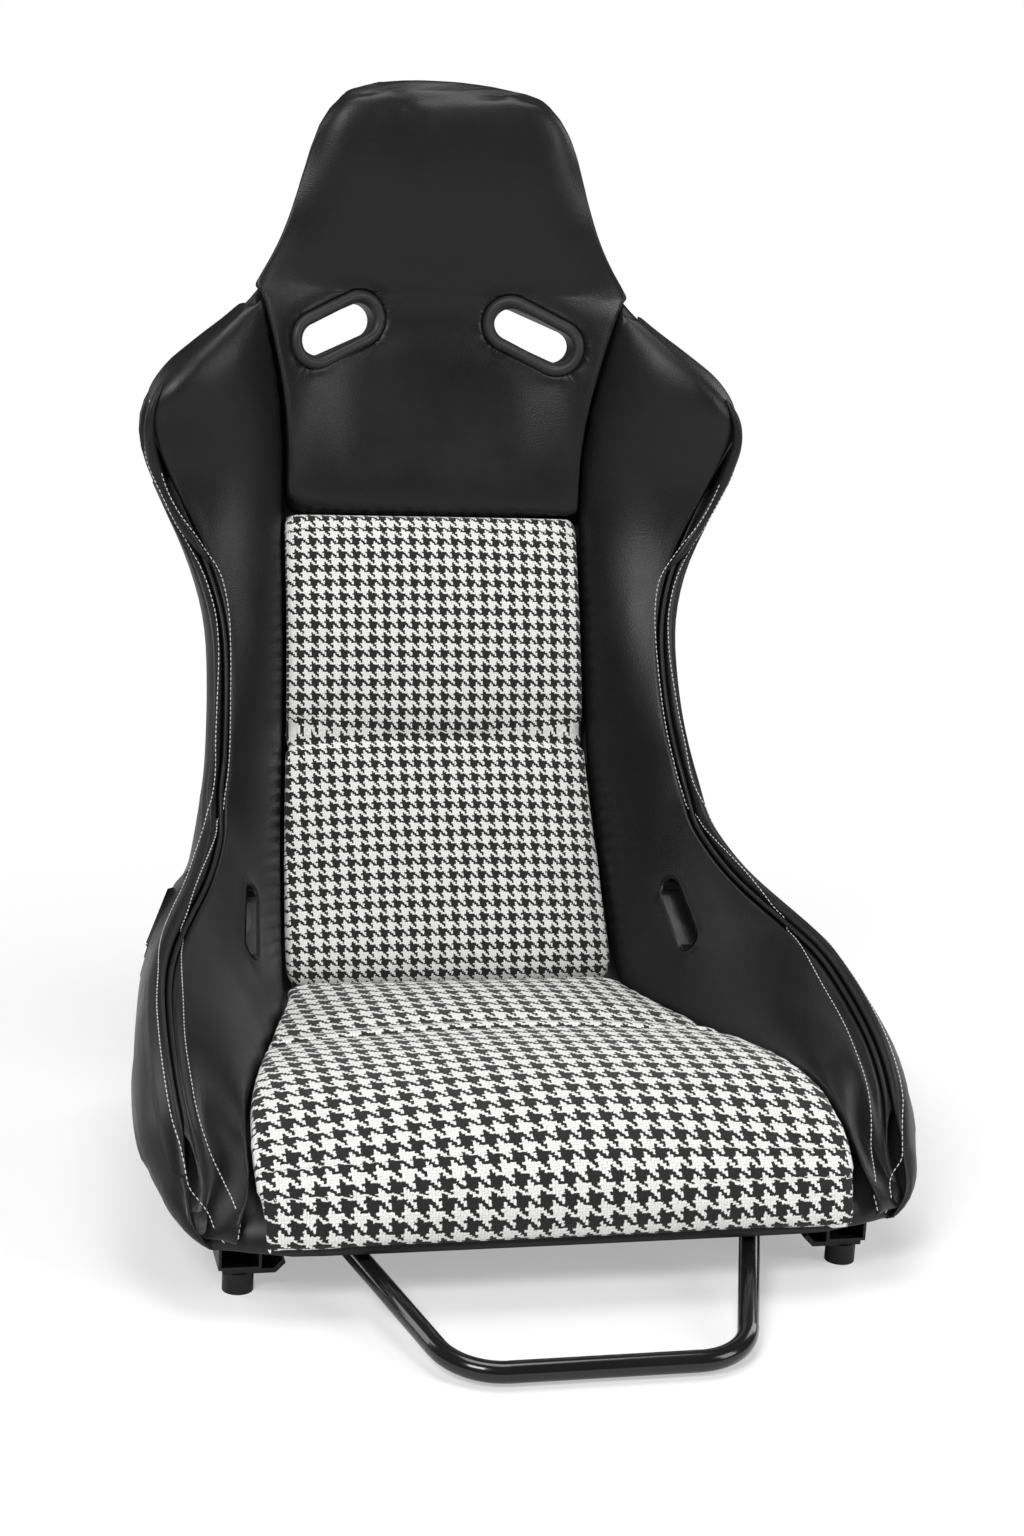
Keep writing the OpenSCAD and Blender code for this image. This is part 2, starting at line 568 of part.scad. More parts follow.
module head_pad() {
  color([0.07, 0.07, 0.075]) difference() {
    head_form();
    for (side = sides) {
      slot_tunnel(side, sleeve_t + fit);
      slot_landing(side, fit);
      at_slot(side, lip_base - fit) linear_extrude(height = 60) stadium(slot_l, slot_w, lip_w + fit);
      at_bezel_screws(side) cylinder(d = screw_d + 1, h = 30, center = true);
    }
  }
}
module back_cushion() {
  color([0.55, 0.55, 0.54]) cushion(T_JOIN + 0.06, T_PANEL - 0.02, T_BACK_CHANNEL, back_pitch, 0.35, 0.25);
}
module seat_cushion() {
  color([0.55, 0.55, 0.54]) cushion(0.1, T_JOIN - 0.06, T_SEAT_CHANNEL, seat_pitch, 0.35, 0.3);
}

// Hook-and-loop tapes on the flat of the shell, two under each cushion
tape_x = 60;
tape_w = 50;
module grip_tape(side, t0, t1) {
  loft([for (t = [t0 : ROW_STEP : t1])
    [for (p = [[-1, 1], [1, 1], [1, 0], [-1, 0]])
      on_spine(t, side * tape_x + p[0] * tape_w / 2, 0.15 + p[1] * tape_t)]]);
}
module grip_tapes() {
  color([0.12, 0.12, 0.12]) for (side = sides) {
    grip_tape(side, 2.5, 8);
    grip_tape(side, 10, 15.5);
  }
}

// Leather cap folded over the rim: the profile's x runs towards the sitter, its y off the rim
TRIM_START = 2;
module edge_trim(side) {
  cap_gap = 0.45;
  inside = cap_gap + trim_t;
  outside = -shell_t - inside;
  color([0.06, 0.06, 0.065]) mirror([side < 0 ? 1 : 0, 0, 0])
    loft([for (t = [TRIM_START : ROW_STEP : T_WRAP])
      let(
        at = shell_in(t, 1), n = normal_in(t, 1), leg = w_below(t, leg_at(t)),
        a = unit(at - shell_in(t, 1 - 1 / SHELL_COLUMNS)),
        around = [[inside, -0.6], [inside - 1.8, inside], [outside + 1.8, inside],
                  [outside, -0.6]])
      concat(
        [on_shell(t, leg, -shell_t - cap_gap), at - n * (shell_t + cap_gap) + a * cap_gap,
         at + (n + a) * cap_gap, on_shell(t, leg, cap_gap), on_shell(t, leg, inside)],
        [for (p = around) at + n * p[0] + a * p[1]],
        [on_shell(t, leg, outside)])]);
}
module edge_trim_right() edge_trim(right);
module edge_trim_left() edge_trim(left);

// Piped welt between the cap and the wing pad
welt_n = 2 * fit + trim_t + welt_r;
welt_rise = 1;
module edge_welt(side) {
  sides_round = 6;
  color([0.15, 0.15, 0.15]) mirror([side < 0 ? 1 : 0, 0, 0])
    loft([for (t = [TRIM_START : ROW_STEP : T_WRAP])
      let(at = shell_in(t, 1), n = normal_in(t, 1), a = across(t, 1))
      [for (i = [0 : sides_round - 1])
        let(angle = i * 360 / sides_round)
        at + n * (welt_n + welt_r * cos(angle)) + a * (welt_rise + welt_r * sin(angle))]]);
}
module edge_welt_right() edge_welt(right);
module edge_welt_left() edge_welt(left);

// ---------- slot trims ----------
// Half-round lip standing on the padding
module lip_profile(width, height) {
  r = width / 2;
  intersection() {
    translate([r, height - r]) circle(r = r);
    square([width, height]);
  }
  square([width, height - r]);
}
module belt_bezel(side) {
  color([0.2, 0.2, 0.21]) {
    at_slot(side, lip_base) stadium_bead(slot_l, slot_w) lip_profile(lip_w, lip_h);
    difference() {
      slot_tunnel(side, sleeve_t);
      slot_tunnel(side, 0);
      at_slot(side, lip_base + 1) translate([-100, -100, 0]) cube([200, 200, 200]);
      at_rear(side, 2) translate([-100, -100, 0]) cube([200, 200, 200]);
    }
  }
}
module belt_bezel_right() belt_bezel(right);
module belt_bezel_left() belt_bezel(left);
module rear_bezel(side) {
  r = 1.5;
  color([0.2, 0.2, 0.21]) difference() {
    at_rear(side, fit) stadium_bead(rear_clear_l, rear_clear_w) {
      square([rear_flange, rear_flange_h - r]);
      square([rear_flange - r, rear_flange_h]);
      translate([rear_flange - r, rear_flange_h - r]) circle(r = r);
    }
    at_bezel_screws(side) cylinder(d = screw_d + 0.2, h = 30, center = true);
  }
}
module rear_bezel_right() rear_bezel(right);
module rear_bezel_left() rear_bezel(left);
module bezel_screws() {
  color([0.1, 0.1, 0.1]) for (side = sides)
    at_bezel_screws(side, fit + rear_flange_h) {
      difference() {
        cylinder(d = 7, h = 2);
        translate([0, 0, 1]) cylinder(d = 2.6, h = 2);
      }
      translate([0, 0, -11]) cylinder(d = screw_d, h = 11);
    }
}

// Trim pressed into each lap slot, with a sleeve that reaches the outside of the shell
lap_reach = 77.5;
lap_end_slope = 21;
module lap_trim(side) {
  color([0.06, 0.06, 0.065]) {
    at_lap(side, lip_base) stadium_bead(lap_l, lap_w) lip_profile(lap_rim, lap_lip_h);
    difference() {
      lap_way(side, lap_sleeve);
      lap_way(side, 0);
      at_lap(side, lip_base + 0.5) translate([-100, -100, 0]) cube([200, 200, 200]);
      at_lap_way(side, lap_reach) rotate([0, lap_end_slope, 0]) translate([-100, -100, 0])
        cube([200, 200, 200]);
    }
  }
}
module lap_trim_right() lap_trim(right);
module lap_trim_left() lap_trim(left);

// ---------- slide rails ----------
rail_x = rail_spacing / 2;
// Mirrored about the middle of each rail, so that local +x points away from the seat
module at_rails(rail_sides = sides) {
  for (side = rail_sides) mirror([side < 0 ? 1 : 0, 0, 0]) translate([rail_x, 0, 0]) children();
}
module along_y(length) rotate([90, 0, 0]) linear_extrude(height = length, center = true) children();

plate_t = 3.5;
rail_z = foot_h + plate_t;
rail_top = rail_z + rail_h;
slot_half = 9;
ledge_x = 26;
notch_pitch = 10;
notch_w = 5;
notch_d = 6;
notches = 27;
module lower_rail(side) {
  half = rail_w / 2;
  color([0.16, 0.16, 0.17]) at_rails([side]) difference() {
    along_y(rail_l) {
      translate([-half, rail_z]) square([rail_w, rail_t]);
      for (e = ends) translate([e * (half - rail_t / 2), rail_z + rail_h / 2])
        square([rail_t, rail_h], center = true);
      translate([slot_half, rail_top - rail_t]) square([half - slot_half, rail_t]);
      translate([-ledge_x, rail_top - rail_t]) square([ledge_x - slot_half, rail_t]);
    }
    for (i = [0 : notches - 1])
      translate([-ledge_x - 1, (i - (notches - 1) / 2) * notch_pitch - notch_w / 2,
                 rail_top - rail_t - 1]) cube([notch_d + 1, notch_w, rail_t + 2]);
    for (e = ends) translate([0, e * foot_spacing / 2, rail_z - 1])
      cylinder(d = bolt_hole, h = rail_t + 2);
  }
}
module lower_rail_right() lower_rail(right);
module lower_rail_left() lower_rail(left);

// Folded plates that carry the rails' ends, with one flange turned up at 45 degrees
foot_l = 40;
foot_nose = 9;
foot_out = 12;
foot_in = 25;
fold = 7.0;
module foot_brackets() {
  rise = plate_t / sqrt(2);
  color([0.05, 0.05, 0.055]) at_rails() for (e = ends) mirror([0, e < 0 ? 1 : 0, 0])
    translate([0, foot_spacing / 2, 0]) difference() {
      translate([0, foot_nose - foot_l / 2, 0]) along_y(foot_l) polygon([
        [foot_out, foot_h], [foot_out, rail_z], [-foot_in + plate_t * tan(22.5), rail_z],
        [-foot_in - fold + rise, foot_h + fold + rise],
        [-foot_in - fold, foot_h + fold], [-foot_in, foot_h]]);
      translate([0, 0, foot_h - 1]) cylinder(d = bolt_hole, h = plate_t + 2);
    }
}
module floor_spacers() {
  color([0.06, 0.06, 0.06]) at_rails() for (e = ends)
    translate([0, e * foot_spacing / 2, 0]) difference() {
      cylinder(d = foot_d, h = foot_h);
      translate([0, 0, -1]) cylinder(d = bolt_hole, h = foot_h + 2);
    }
}

// The stop pins meet these blocks at both ends of the travel
pin_d = 5;
stop_l = 20;
stop_h = 9.5;
stop_clear = 0.3;
module travel_stops() {
  color([0.25, 0.25, 0.26]) at_rails() for (e = ends)
    translate([-4, e * (travel + pin_d / 2 + stop_clear + stop_l / 2) - stop_l / 2, rail_z + rail_t])
      cube([8, stop_l, stop_h]);
}

upper_top = 44;
upper_plate_t = 4;
upper_w = 28;
web_x = 7.8;
web_t = 2;
flange_x = 11.8;
flange_z = rail_z + 5.5;
module upper_rail(side) {
  plate_z = upper_top - upper_plate_t;
  color([0.2, 0.2, 0.21]) at_rails([side]) difference() {
    along_y(upper_l) {
      translate([-upper_w / 2, plate_z]) square([upper_w, upper_plate_t]);
      for (e = ends) {
        translate([e * (web_x - web_t / 2), (flange_z + plate_z) / 2])
          square([web_t, plate_z - flange_z], center = true);
        translate([e * (web_x + flange_x) / 2, flange_z + rail_t / 2])
          square([flange_x - web_x, rail_t], center = true);
      }
    }
    for (y = insert_y) translate([0, y, plate_z - 1]) cylinder(d = 8.2, h = upper_plate_t + 2);
    translate([0, ear_screw_y, plate_z - 1]) cylinder(d = 6, h = upper_plate_t + 2);
    translate([0, 0, pin_z]) rotate([0, 90, 0]) cylinder(d = pin_d, h = 40, center = true);
  }
}
module upper_rail_right() upper_rail(right);
module upper_rail_left() upper_rail(left);
pin_z = rail_z + 8.5;
module stop_pins() {
  color([0.6, 0.6, 0.62]) at_rails() translate([0, 0, pin_z]) rotate([0, 90, 0])
    cylinder(d = pin_d, h = 2 * web_x + 2, center = true);
}

// Plastic shoes round the upper rail's flanges
shoe_l = 40;
shoe_y = 95;
shoe_clear = 0.2;
shoe_grip = 0.1;
module glide_shoes() {
  x0 = web_x + fit;
  x1 = rail_w / 2 - rail_t - shoe_clear;
  z0 = rail_z + rail_t + shoe_clear;
  z1 = rail_top - rail_t - shoe_clear;
  color([0.85, 0.85, 0.82]) at_rails() for (e = ends, f = ends)
    translate([0, f * shoe_y, 0]) along_y(shoe_l) mirror([e < 0 ? 1 : 0, 0])
      difference() {
        translate([x0, z0]) square([x1 - x0, z1 - z0]);
        translate([x0 - 1, flange_z - shoe_grip])
          square([flange_x + shoe_grip - x0 + 1, rail_t + 2 * shoe_grip]);
      }
}

// ---------- seat frame ----------
bracket_t = 5;
bracket_x0 = 105;
bracket_x1 = 236;
bracket_l = 40;
module rail_brackets() {
  color([0.07, 0.07, 0.07]) for (side = sides, y = insert_y) difference() {
    translate([side > 0 ? bracket_x0 : -bracket_x1, y - bracket_l / 2, upper_top])
      cube([bracket_x1 - bracket_x0, bracket_l, bracket_t]);
    for (x = [insert_x, rail_x]) translate([side * x, y, upper_top - 1])
      cylinder(d = 8.2, h = bracket_t + 2);
  }
}
bracket_top = upper_top + bracket_t;
nut_h = 6;
module rail_bolts() {
  color([0.3, 0.3, 0.31]) at_rails() for (y = insert_y) translate([0, y, 0]) difference() {
    union() {
      translate([0, 0, bracket_top]) cylinder(d = 14, h = 4.4);
      translate([0, 0, upper_top - upper_plate_t - nut_h]) cylinder(d = 8, h = 16);
    }
    translate([0, 0, bracket_top + 2]) cylinder(d = 5, h = 4);
  }
}
module rail_nuts() {
  color([0.6, 0.6, 0.6]) at_rails() for (y = insert_y)
    translate([0, y, upper_top - upper_plate_t - nut_h]) difference() {
      cylinder(d = 11, h = nut_h);
      translate([0, 0, -1]) cylinder(d = 8.2, h = nut_h + 2);
    }
}
module levelling_blocks() {
  color([0.4, 0.4, 0.41]) for (side = sides, i = [0, 1])
    translate([side * insert_x, insert_y[i], bracket_top]) difference() {
      cylinder(d = boss_d, h = boss_z[i] - bracket_top);
      translate([0, 0, -1]) cylinder(d = 8.2, h = boss_z[i] - bracket_top + 2);
    }
}
module shell_inserts() {
  color([0.7, 0.6, 0.35]) at_inserts(boss_z) difference() {
    cylinder(d = insert_d, h = insert_h);
    translate([0, 0, -1]) cylinder(d = 8.2, h = insert_h - 0.5);
  }
}
module shell_bolts() {
  color([0.3, 0.3, 0.31]) for (side = sides, i = [0, 1])
    translate([side * insert_x, insert_y[i], upper_top]) difference() {
      union() {
        translate([0, 0, -8]) cylinder(d = 13, h = 8);
        cylinder(d = 8, h = boss_z[i] + 5 - upper_top);
      }
      translate([0, 0, -9]) cylinder(d = 6, h = 5);
    }
}

// ---------- release bar ----------
pivot_y = -140;
pivot_z = 41;
ear_x = 178.5;
ear_t = 3.5;
ear_r = 14;
ear_tab_t = 3;
ear_screw_y = -114;
bush_r = 9;
bush_clear = 0.05;
module pivot_ears() {
  color([0.08, 0.08, 0.08]) for (side = sides) mirror([side < 0 ? 1 : 0, 0, 0]) difference() {
    union() {
      translate([ear_x, pivot_y, pivot_z]) rotate([0, 90, 0]) cylinder(r = ear_r, h = ear_t);
      translate([ear_x, pivot_y, 30]) cube([ear_t, 40, upper_top + ear_tab_t - 30]);
      translate([ear_x, -128, upper_top]) cube([rail_x + 14 - ear_x, 28, ear_tab_t]);
    }
    translate([ear_x - 1, pivot_y, pivot_z]) rotate([0, 90, 0]) cylinder(r = bush_r, h = ear_t + 2);
    translate([rail_x, ear_screw_y, upper_top - 1]) cylinder(d = 6.2, h = ear_tab_t + 2);
  }
}
module pivot_bushes() {
  bush_t = 1.2;
  color([0.85, 0.85, 0.82]) for (side = sides) mirror([side < 0 ? 1 : 0, 0, 0])
    translate([ear_x, pivot_y, pivot_z]) rotate([0, 90, 0]) difference() {
      union() {
        translate([0, 0, -bush_t]) cylinder(r = bush_r + 1.5, h = bush_t);
        cylinder(r = bush_r, h = ear_t);
        translate([0, 0, ear_t]) cylinder(r = bush_r + 1.5, h = bush_t);
      }
      translate([0, 0, -bush_t - 1]) cylinder(r = tube_d / 2 + bush_clear, h = ear_t + 2 * bush_t + 2);
    }
}
module ear_screws() {
  color([0.3, 0.3, 0.31]) at_rails() translate([0, ear_screw_y, upper_top + ear_tab_t]) {
    difference() {
      cylinder(d = 11, h = 3.5);
      translate([0, 0, 1.5]) cylinder(d = 4, h = 3);
    }
    translate([0, 0, -11]) cylinder(d = 6, h = 11);
  }
}

bar_tilt = atan(bar_drop / bar_reach);
bar_v = norm([bar_drop, bar_reach]);
stub_end = 190.5;
stub_corner = 163;
stub_bend = 18;
module along_u(from, to) {
  length = norm(to - from);
  translate([from[0], from[1], 0]) rotate([0, 0, atan2(to[1] - from[1], to[0] - from[0])])
    rotate([0, 90, 0]) cylinder(d = tube_d, h = length);
}
// The bar is drawn flat: u is x and v runs from the pivots to the front run
bar_a = [stub_corner, 0];
bar_b = [bar_w / 2, bar_v];
bar_leg = unit(bar_b - bar_a);
bar_turn = atan2(bar_leg[1], -bar_leg[0]);
pull_a = stub_bend * tan(bar_turn / 2);
pull_b = bar_bend * tan(bar_turn / 2);
// A bend is a hair thinner than the straights and runs one degree into each of them
bend_thinner = 0.2;
bend_lap = 1;
module bend(radius, from, turn) {
  rotate([0, 0, from - bend_lap]) rotate_extrude(angle = turn + 2 * bend_lap)
    translate([radius, 0]) circle(d = tube_d - bend_thinner);
}
module half_bar() {
  a = bar_a;
  b = bar_b;
  leg = bar_leg;
  along_u([stub_end, 0], a + [pull_a, 0]);
  translate([a[0] + pull_a, stub_bend, 0]) bend(stub_bend, -90 - bar_turn, bar_turn);
  along_u(a + leg * pull_a, b - leg * pull_b);
  translate([b[0] - pull_b, bar_v - bar_bend, 0]) bend(bar_bend, 90 - bar_turn, bar_turn);
}
module release_bar() {
  front = bar_b - [pull_b, 0];
  color([0.03, 0.03, 0.03]) translate([0, pivot_y, pivot_z]) rotate([180 + bar_tilt, 0, 0]) {
    for (side = sides) mirror([side < 0 ? 1 : 0, 0, 0]) half_bar();
    along_u([-front[0], front[1]], front);
  }
}

// Claws that reach under the rails' ledges
claw_t = 3;
claw_y0 = -122;
claw_y1 = -97.5;
claw_z = 27.5;
claw_comb = 2.5;
tooth_top = rail_top - rail_t - 0.5;
teeth = 3;
module latch_claws() {
  color([0.35, 0.35, 0.36]) for (side = sides) mirror([side < 0 ? 1 : 0, 0, 0]) {
    translate([stub_end, pivot_y, pivot_z]) rotate([0, 90, 0]) cylinder(r = 9, h = claw_t);
    translate([stub_end, 0, 0]) rotate([90, 0, 90]) linear_extrude(height = claw_t)
      polygon([[pivot_y, pivot_z + 9], [pivot_y + 9, pivot_z + 4], [-127, 42], [claw_y1, 36],
               [claw_y1, claw_z], [claw_y0, claw_z], [pivot_y - 3, pivot_z - 8]]);
    translate([stub_end + claw_t, claw_y0, claw_z])
      cube([10, claw_y1 - claw_y0, claw_comb]);
    for (i = [0 : teeth - 1]) translate([stub_end + claw_t + 5, claw_y0 + 2.5 + i * notch_pitch - 2, claw_z])
      cube([4.5, 4, tooth_top - claw_z]);
  }
}

// Torsion springs round the bar's ends, each one unbroken wire. The inner end rests under
// the ear's tab and the outer end under the claw.
wire_r = 0.8;
wire_sides = 6;
coil_r = tube_d / 2 + 0.5 + wire_r;
turns = 2.25;
curl_rings = 16;
spring_x0 = ear_x + ear_t + 1.2 + fit + wire_r;
spring_x1 = stub_end - fit - wire_r;
// Angles are measured about the bar's axis, from straight back and upwards
coil_path = [for (i = [0 : turns * curl_rings])
  let(share = i / (turns * curl_rings), angle = 180 - 90 + 360 * turns * share)
  [lerp(spring_x0, spring_x1, share), coil_r * cos(angle), coil_r * sin(angle)]];
least_coil_gap = (spring_x1 - spring_x0) / turns - 2 * wire_r;
echo(least_coil_gap = least_coil_gap);
module wire(path) {
  last = len(path) - 1;
  loft([for (i = [0 : last])
    let(d = unit(path[min(i + 1, last)] - path[max(i - 1, 0)]),
        u = unit(cross(d, abs(d[0]) < 0.9 ? [1, 0, 0] : [0, 1, 0])), v = cross(d, u))
    [for (k = [0 : wire_sides - 1])
      path[i] + wire_r * (u * cos(k * 360 / wire_sides) + v * sin(k * 360 / wire_sides))]]);
}
module return_springs() {
  first = coil_path[0];
  end = coil_path[len(coil_path) - 1];
  color([0.55, 0.55, 0.57]) for (side = sides) mirror([side < 0 ? 1 : 0, 0, 0])
    translate([0, pivot_y, pivot_z]) wire(concat(
      [[first[0], 22, first[2]], [first[0], 8, first[2]]], coil_path,
      [[end[0], end[1], -8], [end[0], end[1], -14]]));
}

lower_rail_right();
lower_rail_left();
foot_brackets();
floor_spacers();
travel_stops();
upper_rail_right();
upper_rail_left();
glide_shoes();
stop_pins();
rail_brackets();
rail_bolts();
rail_nuts();
levelling_blocks();
shell_inserts();
shell_bolts();
pivot_ears();
pivot_bushes();
ear_screws();
shell();
wing_pad_right();
wing_pad_left();
head_pad();
back_cushion();
seat_cushion();
grip_tapes();
edge_trim_right();
edge_trim_left();
edge_welt_right();
edge_welt_left();
belt_bezel_right();
belt_bezel_left();
rear_bezel_right();
rear_bezel_left();
bezel_screws();
lap_trim_right();
lap_trim_left();
release_bar();
latch_claws();
return_springs();
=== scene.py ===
"""Racing seat: padded leather wings and head, houndstooth cushions, slide rails and a release bar."""

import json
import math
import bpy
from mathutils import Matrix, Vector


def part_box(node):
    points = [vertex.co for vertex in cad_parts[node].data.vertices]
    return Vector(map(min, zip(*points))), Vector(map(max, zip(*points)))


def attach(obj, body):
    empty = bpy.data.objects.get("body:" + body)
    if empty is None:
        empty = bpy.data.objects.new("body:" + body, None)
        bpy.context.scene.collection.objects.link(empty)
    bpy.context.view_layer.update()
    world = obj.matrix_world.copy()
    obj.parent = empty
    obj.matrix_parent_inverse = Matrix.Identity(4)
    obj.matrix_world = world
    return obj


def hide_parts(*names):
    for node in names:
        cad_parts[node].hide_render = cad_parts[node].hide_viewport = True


bl_info = {
    "name": "Racing Seat",
    "version": (1, 0, 0),
    "blender": (4, 5, 0),
    "location": "3D View > Sidebar > Racing Seat",
    "description": "Upholstery, trims, hardware and studio for a fixed-back racing seat",
    "category": "Object",
}

import bmesh
import bpy
import numpy as np
from mathutils import Matrix, Vector
from mathutils.bvhtree import BVHTree

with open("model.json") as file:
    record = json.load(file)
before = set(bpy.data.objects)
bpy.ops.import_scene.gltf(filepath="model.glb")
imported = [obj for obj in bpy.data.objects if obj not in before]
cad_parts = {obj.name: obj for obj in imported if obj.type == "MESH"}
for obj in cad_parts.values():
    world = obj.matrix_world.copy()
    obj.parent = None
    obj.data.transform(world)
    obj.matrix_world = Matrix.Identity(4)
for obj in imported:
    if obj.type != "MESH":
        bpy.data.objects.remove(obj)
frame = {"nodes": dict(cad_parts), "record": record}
NODES = frame["nodes"]
SLOTS = {part["node"]: part["material_slot"] for part in frame["record"]["subparts"]}


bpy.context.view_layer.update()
SIDES = {"right": -1, "left": 1}
# CAD nodes by their names; the bezels come with their screws
BEZELS = [name for name in NODES if "bezel" in name]
LAP_TRIMS = [name for name in NODES if "lap_trim" in name]
TRIMS = [name for name in NODES if "bezel" in name or "lap_trim" in name or "edge_" in name]

# Seams on either side of the rim band, from the front corner up to the shoulder, in millimetres
OUTER_SEAM = [
    (235, -215, 53), (246, -205, 67), (257, -194, 85), (265, -176, 107), (269, -154, 124),
    (271, -128, 140), (271, -89, 156), (269, -50, 168), (264, -10, 181), (252, 60, 189),
    (237, 106, 204), (222, 145, 224), (209, 170, 245), (200, 196, 271), (198, 217, 299),
    (195, 237, 328), (193, 253, 358), (194, 265, 381), (197, 277, 403), (206, 288, 426),
    (221, 295, 452), (235, 300, 482), (246, 302, 508), (254, 292, 536), (253, 288, 561)]
INNER_SEAM = [
    (222, -229, 60), (230, -212, 77), (237, -185, 88), (244, -164, 102),
    (249, -139, 118), (250, -114, 130), (251, -73, 145), (248, -28, 160), (244, 18, 179),
    (236, 65, 195), (224, 100, 212), (208, 140, 229), (196, 175, 244), (189, 198, 269),
    (185, 220, 299), (183, 239, 328), (182, 256, 358), (182, 267, 380), (184, 278, 403),
    (189, 287, 423), (200, 292, 436), (214, 296, 452), (230, 299, 474), (240, 301, 497)]
# Roll of leather that closes the joint between wing and shell over the shoulder, in millimetres
SHOULDER_ROLL = [
    (196, 292, 425), (209, 291, 443), (223, 296, 463), (236, 299, 486),
    (245, 296, 510), (250, 289, 535), (248, 288, 556), (239, 293, 574)]

# From here on lengths are in metres, and a pair says where a smooth change starts and is complete.
# A copy of a CAD node: distance within which corners are merged, and limits for joining two triangles
MERGE_DISTANCE, QUAD_FOLD, QUAD_SKEW = 2e-5, math.radians(50), math.radians(60)
# Folds sharper than these stay sharp
SHELL_CREASE, CAP_CREASE = math.radians(38), math.radians(60)
# Swell of the flank's front lower corner, and the stretch that is evened after it
SWELL_Y, SWELL_X = (-0.13, -0.20), (0.17, 0.22)
SWELL_HEIGHT, SWELL_SPREAD = 0.058, 0.021
EVEN_Y, EVEN_X, EVEN_Z = (-0.14, -0.17), (0.19, 0.21), (0.135, 0.105)
# Top edge of the head: where it rises, where it is evened, and where both sides are levelled
HEAD_RISE_Z, HEAD_EVEN_Z, HEAD_LEVEL_Z = (0.72, 0.81), (0.60, 0.64), 0.78
# Strips in which both sides are compared, and how far a place may stand above the lower side
LEVEL_STEP, LEVEL_SLACK = 0.006, 0.0005
# Evening shrinks a form, so each round grows it back by this much
REGROWTH = 0.00005
# Crown of the head pad: how squarely it faces the sitter, its distance from the bezels, its heights
CROWN_FACING, CROWN_CLEAR = (0.3, 0.8), (0.004, 0.064)
CROWN_LOW, CROWN_HIGH, HEAD_HALF_WIDTH = (0.66, 0.75), (0.835, 0.755), 0.125
# Distance from the bezels over which the evening of the head pad fades out
BEZEL_HOLD = (0.014, 0.002)
# Caps and welts: how far from each end they start to sink, as y + z, and how high the end lies
CAP_RUN_OUT, CAP_END_LIFT = 0.06, 0.0003
# Shoulder roll: its radius, and the share of it that is left at the tips
ROLL_RADIUS, ROLL_TIP = 0.0052, 0.15
# How far at most a lap slot's trim stands above the leather
LAP_TRIM_LIFT = 0.0008
# A pad is held within this distance of another piece, comes free over a short way beyond it, and is
# held less firmly while its start is evened
HOLD_WITHIN, HOLD_FADE, START_HOLD = 0.0025, 0.004, 0.8
STUFFING_FRAMES = 20
# Cross channel of each cushion: its place as y and z, its share of the full depth, and the cloth
CUSHIONS = {
    "seat_cushion": ((-0.006, 0.124), 1.0, "houndstooth_seat"),
    "back_cushion": ((0.275, 0.281), 0.5, "houndstooth_back"),
}
# A channel's half width, how deep behind the face it pulls in full, and over what depth it fades
CHANNEL_HALF_WIDTH, CHANNEL_REACH, CHANNEL_FADE = 0.006, 0.012, 0.01
# Middle line of a cushion: spacing, how far it keeps off the mesh's edges, and how far off rays start
LINE_STEP, LINE_INSET, RAY_START = 0.006, 0.004, 1
# Depth behind a cushion's face from which the weave runs on round its sides
FACE_DEPTH = 0.008
# A path: spacing of its points, and how many a rounded span is worked out from
PATH_STEP, POINTS_PER_SPAN = 0.004, 8
# Rays that lay a seam on the leather: how far off they start, and how far they go
SEAM_RAY_START, SEAM_RAY_REACH = 0.012, 0.02
# Height of the stitches above the leather, and how strongly a stitch thins towards its ends
STITCH_LIFT, STITCH_TAPER = 0.0004, 2.4
# Ways in which the outer and inner seam face, on the left
OUTER_WAY, INNER_WAY = (0.5, -0.8, 0.3), (-0.2, -0.9, 0.3)

# Houndstooth: yarns in a repeat, half of them dark, and yarns in a repeat of the twill
REPEAT_YARNS, TWILL_YARNS = 8.0, 4.0

# Floor: half width, share of its own glow, and distances between which it turns plain white
FLOOR_REACH, FLOOR_GLOW = 12.0, 0.4
FLOOR_SHADOW, FLOOR_WHITE = 0.45, 1.0
AIM_LOW, AIM_HIGH, AIM_TOP = (0, 0.1, 0.4), (0, 0.1, 0.45), (0, 0.15, 0.4)
LAMPS = (  # name, place, aim, width, height, watts
    ("key", (-1.6, -2.4, 2.6), AIM_HIGH, 1.2, 1.1, 96),
    ("fill", (2.4, -1.8, 1.6), AIM_LOW, 1.2, 1.6, 40),
    ("top", (0.1, 0.1, 3.0), AIM_TOP, 1.4, 1.4, 42),
    ("left_rim", (-2.2, 1.1, 1.3), AIM_LOW, 0.8, 1.8, 22),
    ("right_rim", (2.3, 1.2, 1.3), AIM_LOW, 0.8, 1.8, 18),
)
WHITE = (1, 1, 1, 1)
# Camera: sensor height in millimetres, rows of the render, focal length in such rows, place and axes
SENSOR_HEIGHT, RENDER_ROWS, FOCAL_ROWS = 36, 1536, 2663.36088
CAMERA_PLACE = (-0.46045519, -1.88093962, 0.81891369)
CAMERA_FORWARD = (0.22953296, 0.94166516, -0.24613278)
CAMERA_RIGHT = (0.97329088, -0.22321702, 0.05365658)


